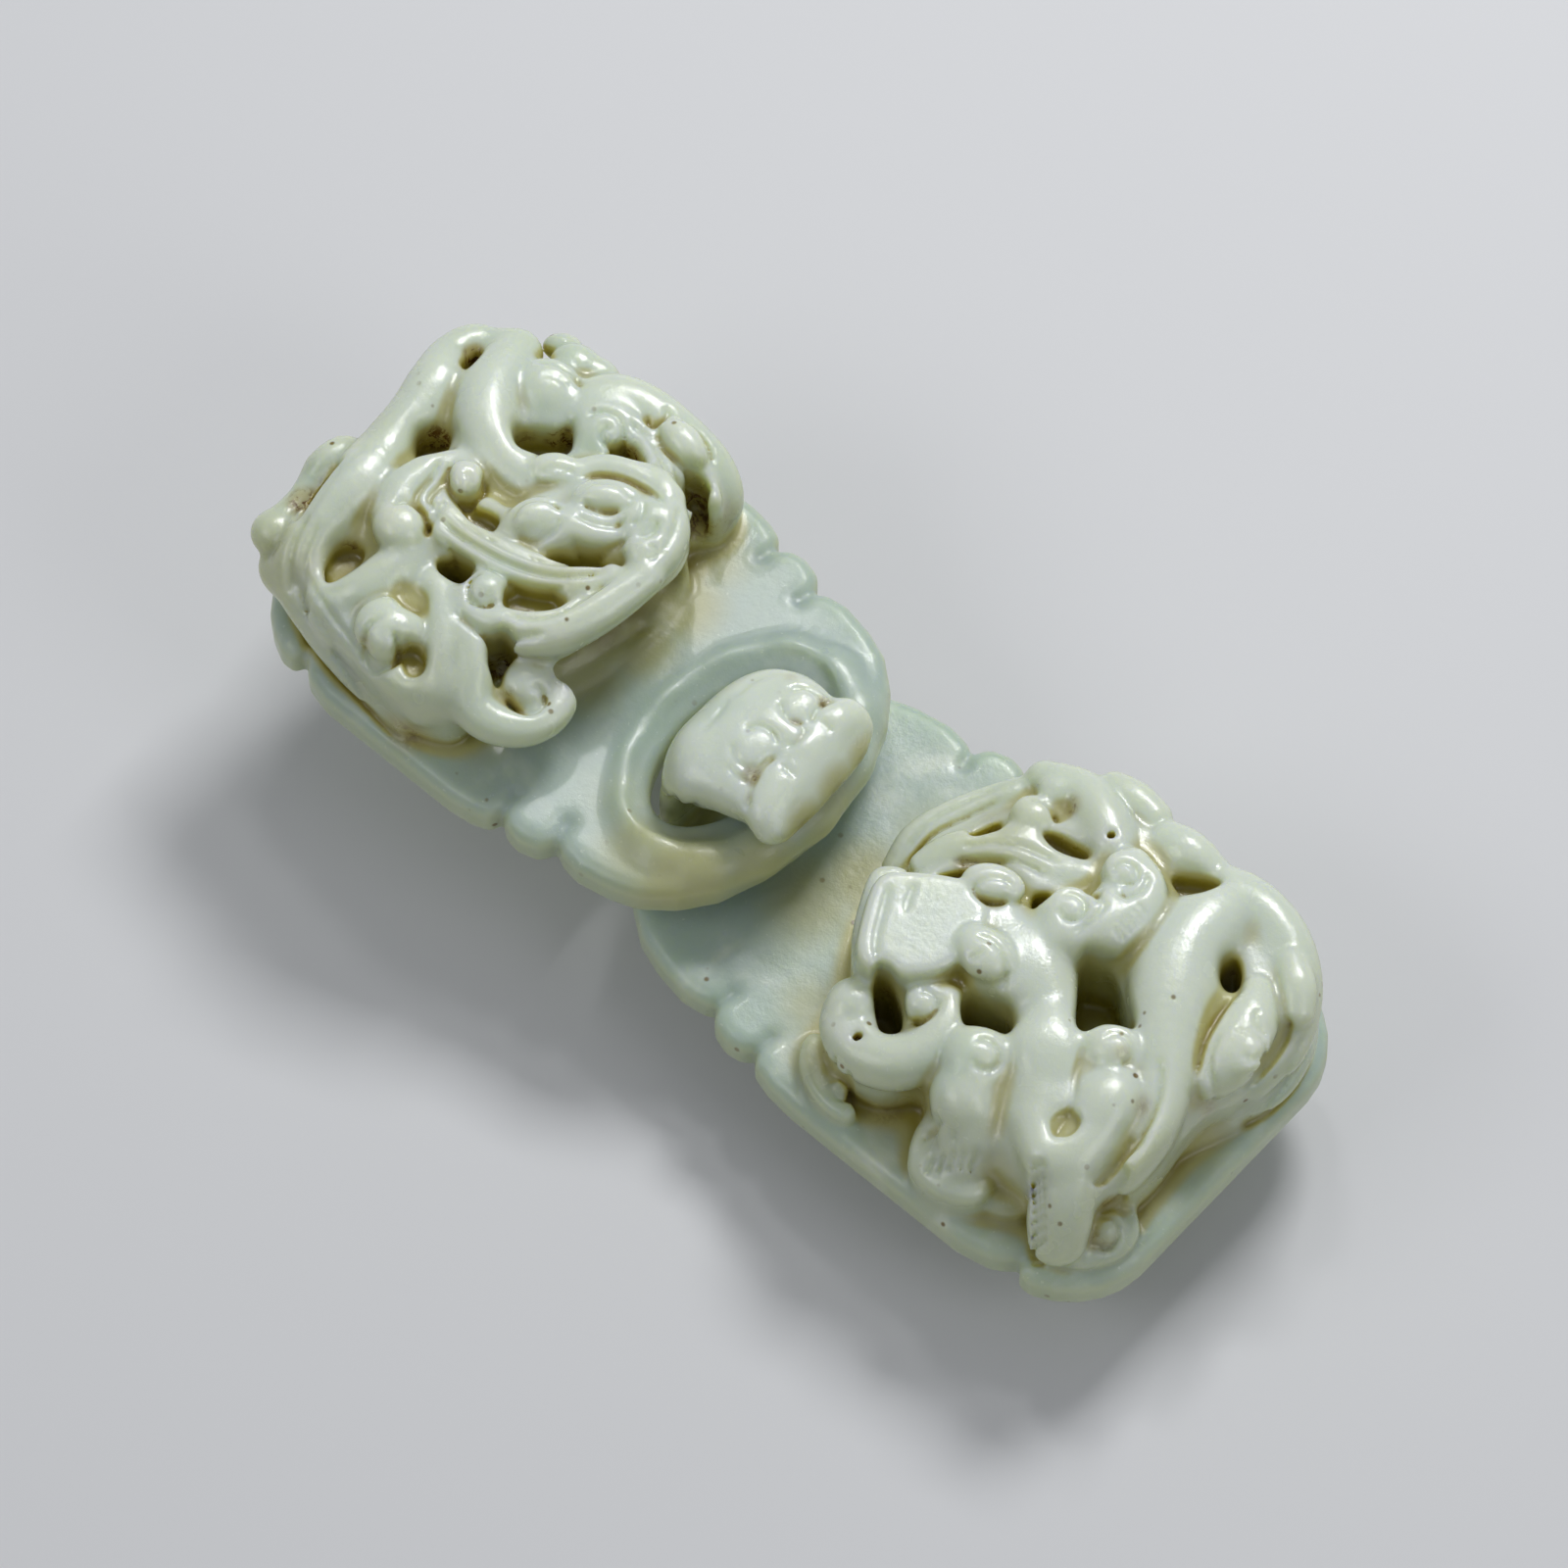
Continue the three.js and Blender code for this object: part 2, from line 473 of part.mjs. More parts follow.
// Neck and dragon head, one with the hook plate. The neck rises through the opening and the head
// turns back over the loop's end bar.
function hookSolid() {
  const headBottom = loopPlateTop + headClearance;
  const headCentreZ = headBottom + headHeight / 2;
  const headBackX = neckCentreX - neckThickness / 2 + headSetback;
  const headCentreX = headBackX + headLength / 2;
  const muzzleX = headBackX + 0.82 * headLength;
  const lipX = headBackX + 0.9 * headLength;
  const muzzleHalf = 0.36 * headWidth;
  const breadth = neckWidth / neckThickness;

  const neckRadius = neckThickness / 2;
  const neck = limb([
    [neckCentreX + neckRadius, 0, hookPlateBottom + neckRadius, neckRadius],
    [neckCentreX, 0, hookPlateTop, neckRadius],
    [neckCentreX, 0, loopPlateTop - neckRadius / 2, neckRadius],
    [neckCentreX + neckRadius / 2, 0, headBottom + neckRadius / 2, neckRadius],
    [neckCentreX + 2 * neckRadius, 0, headCentreZ, neckRadius],
  ], 12, 2);
  neck.scale(1, breadth, 1);
  neck.translate(0, headShift / 2, 0);
  const head = ellipsoid([headCentreX, headShift, headCentreZ], [headLength / 2, headWidth / 2, headHeight / 2],
    0, 20, 12);
  const muzzleRadius = 0.36 * headHeight;
  const lipRadius = 0.28 * headHeight;
  const muzzle = limb([
    [muzzleX, headShift - muzzleHalf, headCentreZ, muzzleRadius],
    [muzzleX, headShift + muzzleHalf, headCentreZ, muzzleRadius],
  ]);
  const lip = limb([
    [lipX, headShift - muzzleHalf, headBottom + lipRadius, lipRadius],
    [lipX, headShift + muzzleHalf, headBottom + lipRadius, lipRadius],
  ]);
  const eyeRadius = 0.1 * headWidth;
  const eyes = [-1, 1].map((side) => ellipsoid(
    [headBackX + 0.52 * headLength, headShift + side * 0.17 * headWidth, headBottom + headHeight - eyeRadius / 2],
    [eyeRadius, 1.3 * eyeRadius, eyeRadius],
  ));
  return joined([neck, head, muzzle, lip, ...eyes].map(solid));
}

function hookPlaque() {
  const frame = { farX: hookFarX, toward: -1, top: hookPlateTop };
  const plate = plateSolid(hookPlateLength, hookEndLength, hookFarX, -1, hookPlateBottom);
  const carving = carvingSolid(hookLimbShares, hookKnobShares, hookMoundShares, frame);
  const pierced = plate.add(carving).subtract(joined(carvedPits(hookPitShares, frame)));
  return joined([pierced, hookSolid(), buttonSolid(hookFarX - hookStemSetback, hookPlateBottom)]);
}

function node(name, shape, material) {
  const mesh = new THREE.Mesh(geometryOf(shape), material);
  mesh.name = name;
  return mesh;
}

const group = new THREE.Group();
group.add(node('hook_plaque', hookPlaque(), jadeCarving));
group.add(node('loop_plaque', loopPlaque(), jadePlate));

// The origin lies on the table under the middle of the buckle's box.
const box = new THREE.Box3().setFromObject(group);
const middle = box.getCenter(new THREE.Vector3());
group.position.set(-middle.x, -middle.y, 0);

export default group;
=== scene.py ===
import math

import bpy
import numpy as np
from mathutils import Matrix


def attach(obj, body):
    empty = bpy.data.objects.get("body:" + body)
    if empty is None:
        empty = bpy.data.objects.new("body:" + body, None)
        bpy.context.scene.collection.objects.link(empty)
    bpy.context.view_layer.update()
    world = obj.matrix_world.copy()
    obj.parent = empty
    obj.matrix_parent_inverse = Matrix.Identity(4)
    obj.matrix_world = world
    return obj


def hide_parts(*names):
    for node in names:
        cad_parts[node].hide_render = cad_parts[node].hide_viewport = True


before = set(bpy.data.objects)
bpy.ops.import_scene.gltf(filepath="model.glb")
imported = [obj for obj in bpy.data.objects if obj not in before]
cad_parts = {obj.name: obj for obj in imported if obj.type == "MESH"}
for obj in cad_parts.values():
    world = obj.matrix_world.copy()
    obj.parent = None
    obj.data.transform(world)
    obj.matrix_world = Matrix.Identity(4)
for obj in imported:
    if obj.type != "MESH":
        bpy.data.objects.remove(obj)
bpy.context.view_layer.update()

# Camera
# It looks down on the buckle from in front and the right. The places on the carvings below are
# written as they line up from here, so that what hides what comes out as on the real pieces.
MM = 0.001
AZIMUTH = math.radians(41.8)
ELEVATION = math.radians(61.0)
DISTANCE = 800.0
AIM = np.array([-1.95, 0.0, 16.0])
OFFSET_X, OFFSET_Y = -1.4, -2.2
back = np.array([math.sin(AZIMUTH) * math.cos(ELEVATION), -math.cos(AZIMUTH) * math.cos(ELEVATION),
                 math.sin(ELEVATION)])
right = np.array([math.cos(AZIMUTH), math.sin(AZIMUTH), 0.0])
upward = np.cross(back, right)
eye = AIM + back * DISTANCE - right * OFFSET_X - upward * OFFSET_Y
camera_data = bpy.data.cameras.new("camera")
camera_data.lens = 180
camera_data.sensor_width = 36
camera_data.clip_end = 20
camera = bpy.data.objects.new("camera", camera_data)
bpy.context.scene.collection.objects.link(camera)
camera.location = eye * MM
camera.rotation_euler = (math.pi / 2 - ELEVATION, 0, AZIMUTH)
bpy.context.scene.camera = camera
bpy.context.scene.view_settings.view_transform = "Standard"
# The places on the carvings are written with the buckle this much further left along X.
SIGHT_X = 1.8


def seen_at(x, y, level, z):
    """The place at height z that lines up, from the camera, with the point x, y at a level."""
    share = (z - level) / (eye[2] - level)
    start = x + SIGHT_X
    return start + (eye[0] - start) * share, y + (eye[1] - y) * share, z


# Loop plaque
# One slab of pale celadon nephrite. The carver leaves the plate, the openwork dragons, the raised
# collar with its oval opening and the stemmed button at the back all in that one stone, drills the
# pits, undercuts the limbs and polishes everything to a wet gloss.

# Step of the grid that the stone is sculpted on, a distance that counts as far from any skin,
# and the spare room kept round each piece, in millimetres.
GRAIN = 0.28
FAR_OFF = 9.0
SPARE = 0.6


class Stone:
    """A block of stone held as distances to its skin, in millimetres, on a regular grid."""

    def __init__(self, low, high):
        self.low = np.array(low, np.float64)
        counts = np.ceil((np.array(high) - self.low) / GRAIN).astype(int) + 1
        self.axes = [self.low[i] + GRAIN * np.arange(counts[i]) for i in range(3)]
        self.field = np.full(counts, FAR_OFF, np.float32)

    def window(self, low, high):
        """The part of the grid between two corners, and its places along each axis."""
        cuts = []
        for axis, a, b in zip(self.axes, low, high):
            start = min(max(int((a - axis[0]) / GRAIN), 0), len(axis) - 1)
            stop = min(max(int((b - axis[0]) / GRAIN) + 2, start + 1), len(axis))
            cuts.append(slice(start, stop))
        x, y, z = (axis[c].astype(np.float32) for axis, c in zip(self.axes, cuts))
        return tuple(cuts), x[:, None, None], y[None, :, None], z[None, None, :]

    def leave(self, cuts, piece, blend):
        """Stone is left standing where the piece is, with a soft crease of width blend."""
        old = self.field[cuts]
        bridge = np.maximum(blend - np.abs(old - piece), 0) / blend
        self.field[cuts] = np.minimum(old, piece) - bridge * bridge * blend / 4

    def cut(self, cuts, piece, blend):
        """Stone is cut away where the piece is, and the edge is rounded over by blend."""
        old = self.field[cuts]
        bridge = np.maximum(blend - np.abs(old + piece), 0) / blend
        self.field[cuts] = np.maximum(old, -piece) + bridge * bridge * blend / 4


def smooth_rows(rows, steps, closed=False):
    """More points along a smooth curve through the rows, every column alike."""
    rows = np.array(rows, np.float64)
    if closed:
        ends = np.vstack([rows[-1:], rows, rows[:2]])
    else:
        ends = np.vstack([2 * rows[0] - rows[1], rows, 2 * rows[-1] - rows[-2]])
    out = []
    t = (np.arange(steps) / steps)[:, None]
    for a, b, c, d in zip(ends[:-3], ends[1:-2], ends[2:-1], ends[3:]):
        out.append(0.5 * (2 * b + (c - a) * t + (2 * a - 5 * b + 4 * c - d) * t * t
                          + (3 * b - a - 3 * c + d) * t ** 3))
    if not closed:
        out.append(rows[-1:])
    return np.vstack(out)


LIMB_STEPS = 4
LINE_STEPS = 6


def limb(stone, rows, blend=1.0, flat=1.0, cutting=False):
    """A round limb through rows of x, y, z and radius. A flat below 1 makes it lower than wide."""
    points = smooth_rows(rows, LIMB_STEPS) if len(rows) > 2 else np.array(rows, np.float64)
    margin = points[:, 3].max() + blend + SPARE
    cuts = stone.window(points[:, :3].min(0) - margin, points[:, :3].max(0) + margin)[0]
    best = np.full(stone.field[cuts].shape, FAR_OFF, np.float32)
    base = [c.start for c in cuts]
    for a, b in zip(points[:-1], points[1:]):
        m = max(a[3], b[3]) + blend + SPARE
        near, sx, sy, sz = stone.window(np.minimum(a[:3], b[:3]) - m, np.maximum(a[:3], b[:3]) + m)
        local = tuple(slice(s.start - o, s.stop - o) for s, o in zip(near, base))
        d = b[:3] - a[:3]
        t = ((sx - a[0]) * d[0] + (sy - a[1]) * d[1] + (sz - a[2]) * d[2]) / (d @ d + 1e-9)
        t = np.clip(t, 0, 1)
        reach = np.sqrt((sx - a[0] - t * d[0]) ** 2 + (sy - a[1] - t * d[1]) ** 2
                        + ((sz - a[2] - t * d[2]) / flat) ** 2)
        best[local] = np.minimum(best[local], (reach - a[3] - t * (b[3] - a[3])) * min(flat, 1))
    (stone.cut if cutting else stone.leave)(cuts, best, blend)


def knob(stone, place, radii, turn=0.0, blend=0.8, cutting=False):
    """An egg of three half sizes, turned in plan by an angle in degrees."""
    radii = np.array(radii, np.float64)
    margin = radii.max() + blend + SPARE
    place = np.array(place[:3], np.float64)
    cuts, x, y, z = stone.window(place - margin, place + margin)
    c, s = math.cos(math.radians(turn)), math.sin(math.radians(turn))
    dx, dy = x - place[0], y - place[1]
    u, v, w = c * dx + s * dy, -s * dx + c * dy, z - place[2]
    near = np.sqrt((u / radii[0]) ** 2 + (v / radii[1]) ** 2 + (w / radii[2]) ** 2)
    slope = np.sqrt((u / radii[0] ** 2) ** 2 + (v / radii[1] ** 2) ** 2 + (w / radii[2] ** 2) ** 2)
    piece = (near * (near - 1) / np.maximum(slope, 1e-6)).astype(np.float32)
    (stone.cut if cutting else stone.leave)(cuts, piece, blend)


def path_reach(x, y, points):
    """Distance in plan from x, y to a line of points, and the share of the line passed there."""
    best = np.full(np.broadcast(x, y).shape, 1e9)
    along = np.zeros_like(best)
    for i, (a, b) in enumerate(zip(points[:-1], points[1:])):
        d = b - a
        t = np.clip(((x - a[0]) * d[0] + (y - a[1]) * d[1]) / (d @ d + 1e-12), 0, 1)
        reach = np.hypot(x - a[0] - t * d[0], y - a[1] - t * d[1])
        along = np.where(reach < best, (i + t) / (len(points) - 1), along)
        best = np.minimum(best, reach)
    return best, along


def outline_reach(x, y, outline):
    """Distance in plan to a closed outline, negative inside it."""
    points = np.vstack([outline, outline[:1]])
    best, _ = path_reach(x, y, points)
    inside = np.zeros(best.shape, bool)
    for a, b in zip(points[:-1], points[1:]):
        crosses = (a[1] > y) != (b[1] > y)
        slant = (b[0] - a[0]) / (b[1] - a[1]) if b[1] != a[1] else 0.0
        inside ^= crosses & (x < a[0] + (y - a[1]) * slant)
    return np.where(inside, -best, best)


def slab(stone, outline, bottom, top, rounding, blend=0.6, cutting=False):
    """Stone of an outline in plan between two heights, with its edges rounded."""
    margin = rounding + blend + SPARE
    low = [*(outline.min(0) - margin), bottom - margin]
    high = [*(outline.max(0) + margin), top + margin]
    cuts, x, y, z = stone.window(low, high)
    reach = outline_reach(x[:, :, 0], y[:, :, 0], outline)[:, :, None]
    side = reach + rounding
    rise = np.abs(z - (top + bottom) / 2) - (top - bottom) / 2 + rounding
    piece = (np.minimum(np.maximum(side, rise), 0)
             + np.hypot(np.maximum(side, 0), np.maximum(rise, 0)) - rounding)
    (stone.cut if cutting else stone.leave)(cuts, piece.astype(np.float32), blend)


LINE_FADE = 0.8


def incise(stone, points, width, depth, low, high, taper=0.12):
    """A line engraved from above. The skin sinks by depth along it, between two heights."""
    line = smooth_rows(points, LINE_STEPS) if len(points) > 2 else np.array(points, np.float64)
    reach_out = 3 * width
    cuts, x, y, z = stone.window([*(line.min(0) - reach_out), low], [*(line.max(0) + reach_out), high])
    reach, along = path_reach(x[:, :, 0], y[:, :, 0], line)
    ends = np.clip(np.minimum(along, 1 - along) / taper, 0, 1) if taper else 1.0
    sink = depth * np.exp(-((reach / width) ** 2)) * ends
    fade = np.clip((z - low) / LINE_FADE, 0, 1) * np.clip((high - z) / LINE_FADE, 0, 1)
    stone.field[cuts] += (sink[:, :, None] * fade).astype(np.float32)


# How deep the carved masses root in the plate and how softly they join, how round the edges of a
# pit are and how far its cut runs clear above, and how far below and above it a line is cut.
ROOT = 1.0
MASS_BLEND = 0.9
PIT_EDGE = 0.4
CLEAR_ABOVE = 20.0
LINE_BELOW = 5.5
LINE_ABOVE = 5.0


def in_plan(place, outline, rise):
    """A smooth closed outline in plan, from places as they are seen at one height."""
    return smooth_rows([place(x, y, rise)[:2] for x, y in outline], LIMB_STEPS, closed=True)


def carve_forms(stone, place, plate_top, masses, limbs, knobs):
    """The forms left standing: broad masses first, then limbs, then knobs."""
    for outline, top, rounding in masses:
        slab(stone, in_plan(place, outline, top), plate_top - ROOT, plate_top + top, rounding, MASS_BLEND)
    for rows, blend, flat in limbs:
        limb(stone, [(*place(x, y, rise), radius) for x, y, rise, radius in rows], blend, flat)
    for spot, radii, turn, blend in knobs:
        knob(stone, place(*spot), radii, turn, blend)


def carve_pits(stone, place, plate_top, pits):
    """The pits, each cut from its mouth down to its floor."""
    for outline, mouth, floor, blend in pits:
        slab(stone, in_plan(place, outline, mouth), plate_top + floor, plate_top + CLEAR_ABOVE,
             PIT_EDGE, blend, cutting=True)


def carve_lines(stone, place, plate_top, lines):
    """The engraved lines, each read at one height and cut only near that height."""
    for points, rise, width, depth in lines:
        level = plate_top + rise
        line = [place(x, y, rise)[:2] for x, y in points]
        incise(stone, line, width, depth, level - LINE_BELOW, level + LINE_ABOVE)


PLATE_WIDTH = 46.4
PLATE_THICKNESS = 5.0
EDGE_ROUNDING = 1.7
CORNER_LOBE = 9.5
CUSP_LOBE = 6.5


def plate_outline(length, end_length, far_x, toward):
    """Lobed outline: far corners, straight sides, a small lobe between two cusps, a round end."""
    half = PLATE_WIDTH / 2
    cusp_outer = length - end_length
    cusp_inner = cusp_outer - CUSP_LOBE
    # Each row says how far along its stretch of the outline, and how much of the half width.
    corner_shares = [(0, 0.56), (0.04, 0.66), (0.14, 0.75), (0.3, 0.835), (0.5, 0.9), (0.72, 0.945),
                     (0.88, 0.945), (1, 0.915)]
    side_shares = [(0.07, 0.97), (0.17, 1), (0.8, 1), (0.9, 0.985), (0.97, 0.955), (1, 0.92)]
    lobe_shares = [(0.2, 0.94), (0.45, 0.95), (0.75, 0.925), (1, 0.87)]
    end_shares = [(0.18, 0.89), (0.38, 0.86), (0.55, 0.81), (0.72, 0.7), (0.86, 0.55), (0.95, 0.34),
                  (0.99, 0.15)]
    rows = [(a * CORNER_LOBE, w * half) for a, w in corner_shares]
    rows += [(CORNER_LOBE + a * (cusp_inner - CORNER_LOBE), w * half) for a, w in side_shares]
    rows += [(cusp_inner + a * CUSP_LOBE, w * half) for a, w in lobe_shares]
    rows += [(cusp_outer + a * end_length, w * half) for a, w in end_shares]
    rows += [(length, 0)] + [(a, -w) for a, w in reversed(rows)]
    return np.array([(far_x + toward * a, w) for a, w in rows])


CREASE_WIDTH = 0.75
CREASE_DEPTH = 0.5
CREASE_LENGTH = 3.2
CREASE_SLANT = 2.2
CREASE_OVERRUN = 0.6


def cusp_creases(stone, length, end_length, far_x, toward, top):
    """Soft scallop grooves run in from each cusp of the outline, on both faces of the edge."""
    cusp_outer = length - end_length
    cusp_shares = [(CORNER_LOBE, 0.915, 0.5), (cusp_outer - CUSP_LOBE, 0.92, 0.2), (cusp_outer, 0.87, 0.3)]
    for along, across_share, slant_share in cusp_shares:
        for side in (-1, 1):
            start = (far_x + toward * along, side * (across_share * PLATE_WIDTH / 2 + CREASE_OVERRUN))
            stop = (start[0] - toward * slant_share * CREASE_SLANT, start[1] - side * CREASE_LENGTH)
            incise(stone, [start, stop], CREASE_WIDTH, CREASE_DEPTH,
                   top - PLATE_THICKNESS - ROOT, top + ROOT, taper=0)


STEM_RADIUS = 4.5
BUTTON_RADIUS = 10.0
BUTTON_THICKNESS = 4.0
BUTTON_ROUNDING = 1.2
STEM_EDGE = 0.3
STEM_FILLET = 2.6
ROUND_POINTS = 48


def oval(x, half_length, half_width, count=ROUND_POINTS):
    """An oval in plan, round a point on the line along the middle of the buckle."""
    turn = np.linspace(0, 2 * math.pi, count, endpoint=False)
    return np.column_stack([x + half_length * np.cos(turn), half_width * np.sin(turn)])


def round_button(stone, x, plate_bottom):
    """The button that a strap is buttoned over: a flat round disc on a stem with soft fillets."""
    slab(stone, oval(x, BUTTON_RADIUS, BUTTON_RADIUS), 0.0, BUTTON_THICKNESS, BUTTON_ROUNDING)
    stem = oval(x, STEM_RADIUS, STEM_RADIUS)
    slab(stone, stem, BUTTON_THICKNESS / 2, plate_bottom + ROOT, STEM_EDGE, STEM_FILLET)


RELAX_ROUNDS = 3


def skin_of(stone):
    """The stone's skin as points and four-sided faces, one point in each cell it passes."""
    field = stone.field
    inside = field < 0
    n = np.array(field.shape) - 1
    corners = [(i, j, k) for i in (0, 1) for j in (0, 1) for k in (0, 1)]
    count = sum(inside[i:i + n[0], j:j + n[1], k:k + n[2]].astype(np.int8) for i, j, k in corners)
    cells = np.argwhere((count > 0) & (count < 8))
    index = np.full(n, -1, np.int64)
    index[cells[:, 0], cells[:, 1], cells[:, 2]] = np.arange(len(cells))
    value = {c: field[tuple((cells + c).T)].astype(np.float64) for c in corners}
    total = np.zeros((len(cells), 3))
    hits = np.zeros(len(cells))
    for a in corners:
        for axis in range(3):
            if a[axis]:
                continue
            b = tuple(1 if i == axis else a[i] for i in range(3))
            crosses = (value[a] < 0) != (value[b] < 0)
            share = np.where(crosses, value[a] / np.where(crosses, value[a] - value[b], 1), 0)
            point = np.tile(np.array(a, np.float64), (len(cells), 1))
            point[:, axis] += share
            total += point * crosses[:, None]
            hits += crosses
    points = stone.low + GRAIN * (cells + total / hits[:, None])
    faces = []
    for axis in range(3):
        u, v = (axis + 1) % 3, (axis + 2) % 3
        a = np.take(inside, range(field.shape[axis] - 1), axis)
        b = np.take(inside, range(1, field.shape[axis]), axis)
        places = np.argwhere(a != b)
        keep = (places[:, u] > 0) & (places[:, v] > 0) & (places[:, u] < n[u]) & (places[:, v] < n[v])
        places = places[keep]
        ring = []
        for du, dv in ((-1, -1), (0, -1), (0, 0), (-1, 0)):
            cell = places.copy()
            cell[:, u] += du
            cell[:, v] += dv
            ring.append(index[tuple(cell.T)])
        ring = np.stack(ring, 1)
        backward = ~a[tuple(places.T)]
        ring[backward] = ring[backward][:, ::-1]
        faces.append(ring)
    faces = np.vstack(faces)
    starts = faces.ravel()
    ends = np.roll(faces, -1, axis=1).ravel()
    degree = np.bincount(starts, minlength=len(points))
    for _ in range(RELAX_ROUNDS):
        total = np.column_stack([np.bincount(starts, points[ends, i], len(points)) for i in range(3)])
        points = points + 0.5 * (total / degree[:, None] - points)
    return points, faces


def largest_piece(points, faces):
    """Only the one connected stone is kept; any chip left loose by the cutting is dropped."""
    label = np.arange(len(points))
    while True:
        low = label[faces].min(1)
        new = label.copy()
        for i in range(4):
            np.minimum.at(new, faces[:, i], low)
        new = new[new]
        if np.array_equal(new, label):
            break
        label = new
    best = np.bincount(label).argmax()
    keep = label == best
    number = np.cumsum(keep) - 1
    faces = faces[keep[faces[:, 0]]]
    return points[keep], number[faces]


def blurred(grid, radius):
    """The grid smoothed over a radius in millimetres, twice along each axis."""
    n = max(int(round(radius / GRAIN / 2)), 1)
    for _ in range(2):
        for axis in range(3):
            pad = [(0, 0)] * 3
            pad[axis] = (n + 1, n)
            run = np.cumsum(np.pad(grid, pad, mode="edge"), axis=axis, dtype=np.float64)
            size = grid.shape[axis]
            upper = np.take(run, range(2 * n + 1, 2 * n + 1 + size), axis)
            lower = np.take(run, range(0, size), axis)
            grid = ((upper - lower) / (2 * n + 1)).astype(np.float32)
    return grid


# Grooves narrower than the reach fill up to about the depth kept. The filling starts just above
# the plate and fades in.
GROOVE_FLOOR = 0.3
GROOVE_REACH = 1.5
GROOVE_KEPT = 0.2
GROOVE_FADE = 1.5
GROOVE_OFF = 4.0


def fill_grooves(stone, floor):
    """Above a floor, narrow grooves are left shallow, so that neighbouring forms run together."""
    start = int((floor - stone.low[2]) / GRAIN)
    part = stone.field[:, :, start:]
    rise = np.clip(GRAIN * np.arange(part.shape[2]) / GROOVE_FADE, 0, 1)
    soft = blurred(np.clip(part, -GROOVE_REACH, GROOVE_REACH), GROOVE_REACH)
    filled = soft + GROOVE_KEPT + GROOVE_OFF * (1 - rise)
    part[:] = np.minimum(part, filled.astype(np.float32))


def closeness(stone, radius):
    """How much stone surrounds each grid point, from 0 in the open to 1 deep inside."""
    return blurred(np.clip(0.5 - stone.field / (2 * GRAIN), 0, 1), radius)


def sample(grid, stone, points):
    """The grid's value at each point, blended from the eight corners round it."""
    place = np.clip((points - stone.low) / GRAIN, 0, np.array(grid.shape) - 1.001)
    cell = place.astype(int)
    f = place - cell
    out = np.zeros(len(points))
    for i in (0, 1):
        for j in (0, 1):
            for k in (0, 1):
                weight = (np.where(i, f[:, 0], 1 - f[:, 0]) * np.where(j, f[:, 1], 1 - f[:, 1])
                          * np.where(k, f[:, 2], 1 - f[:, 2]))
                out += weight * grid[cell[:, 0] + i, cell[:, 1] + j, cell[:, 2] + k]
    return out


SPREAD_REACH = 1.4


def marked(place, marks):
    """The marks of a plaque where they lie in the frame, each with its radius and strength."""
    return [(*place(*spot), radius, strength) for spot, radius, strength in marks]


def spread(points, places):
    """How strongly a set of places, each x, y, z, radius and strength, reaches each point."""
    best = np.zeros(len(points))
    for x, y, z, radius, strength in places:
        reach = np.linalg.norm((points - (x, y, z)) / radius, axis=1)
        best = np.maximum(best, strength * np.clip(SPREAD_REACH - reach, 0, 1))
    return best


# How far round a point the stone is felt for a crease and for a hollow, how far out the point is
# taken, the share of stone at which each starts, and how much more makes it full.
CREASE_FEEL = (1.3, 0.35, 0.44, 0.2)
HOLLOW_SHADE_FEEL = (4.0, 0.8, 0.36, 0.34)


def felt(stone, points, outward, feel):
    """From 0 on open stone to 1 deep in a crease or hollow, by the stone round each point."""
    radius, step, start_share, width_share = feel
    around = sample(closeness(stone, radius), stone, points + step * outward)
    return np.clip((around - start_share) / width_share, 0, 1)


def carved_object(name, stone, stains, painted_shade):
    """The polished stone as a mesh, with how hollow and how stained each point is, and how much painted
    shade the listed places put on it.
    """
    points, faces = largest_piece(*skin_of(stone))
    mesh = bpy.data.meshes.new(name)
    mesh.vertices.add(len(points))
    mesh.vertices.foreach_set("co", (points * MM).astype(np.float32).ravel())
    mesh.loops.add(faces.size)
    mesh.loops.foreach_set("vertex_index", faces.astype(np.int32).ravel())
    mesh.polygons.add(len(faces))
    mesh.polygons.foreach_set("loop_start", np.arange(0, faces.size, 4, dtype=np.int32))
    mesh.polygons.foreach_set("loop_total", np.full(len(faces), 4, np.int32))
    mesh.update(calc_edges=True)
    mesh.validate()
    mesh.shade_smooth()
    normal = np.zeros(len(mesh.vertices) * 3, np.float32)
    mesh.vertices.foreach_get("normal", normal)
    outward = normal.reshape(-1, 3)
    # The hollows and the listed places give painted shade in the material. The creases carry dirt, and the
    # stains are brown.
    marks = {"hollow_shade": felt(stone, points, outward, HOLLOW_SHADE_FEEL),
             "crease": felt(stone, points, outward, CREASE_FEEL),
             "stain": spread(points, stains), "painted_shade": spread(points, painted_shade)}
    for label, values in marks.items():
        layer = mesh.attributes.new(label, "FLOAT", "POINT")
        layer.data.foreach_set("value", values.astype(np.float32))
    piece = bpy.data.objects.new(name, mesh)
    bpy.context.scene.collection.objects.link(piece)
    return piece


LOOP_FAR_X = -56.445
LOOP_PLATE_LENGTH = 61.6
LOOP_END_LENGTH = 18.2
LOOP_PLATE_BOTTOM = 17.0
LOOP_PLATE_TOP = LOOP_PLATE_BOTTOM + PLATE_THICKNESS
LOOP_STEM_SETBACK = 22.0
LOOP_SIGHT_LEVEL = LOOP_PLATE_TOP - 2.5


def on_loop(x, y, rise):
    """The place of a form of the loop plaque, from where it is seen and its rise over the plate."""
    return seen_at(x, y, LOOP_SIGHT_LEVEL, LOOP_PLATE_TOP + rise)


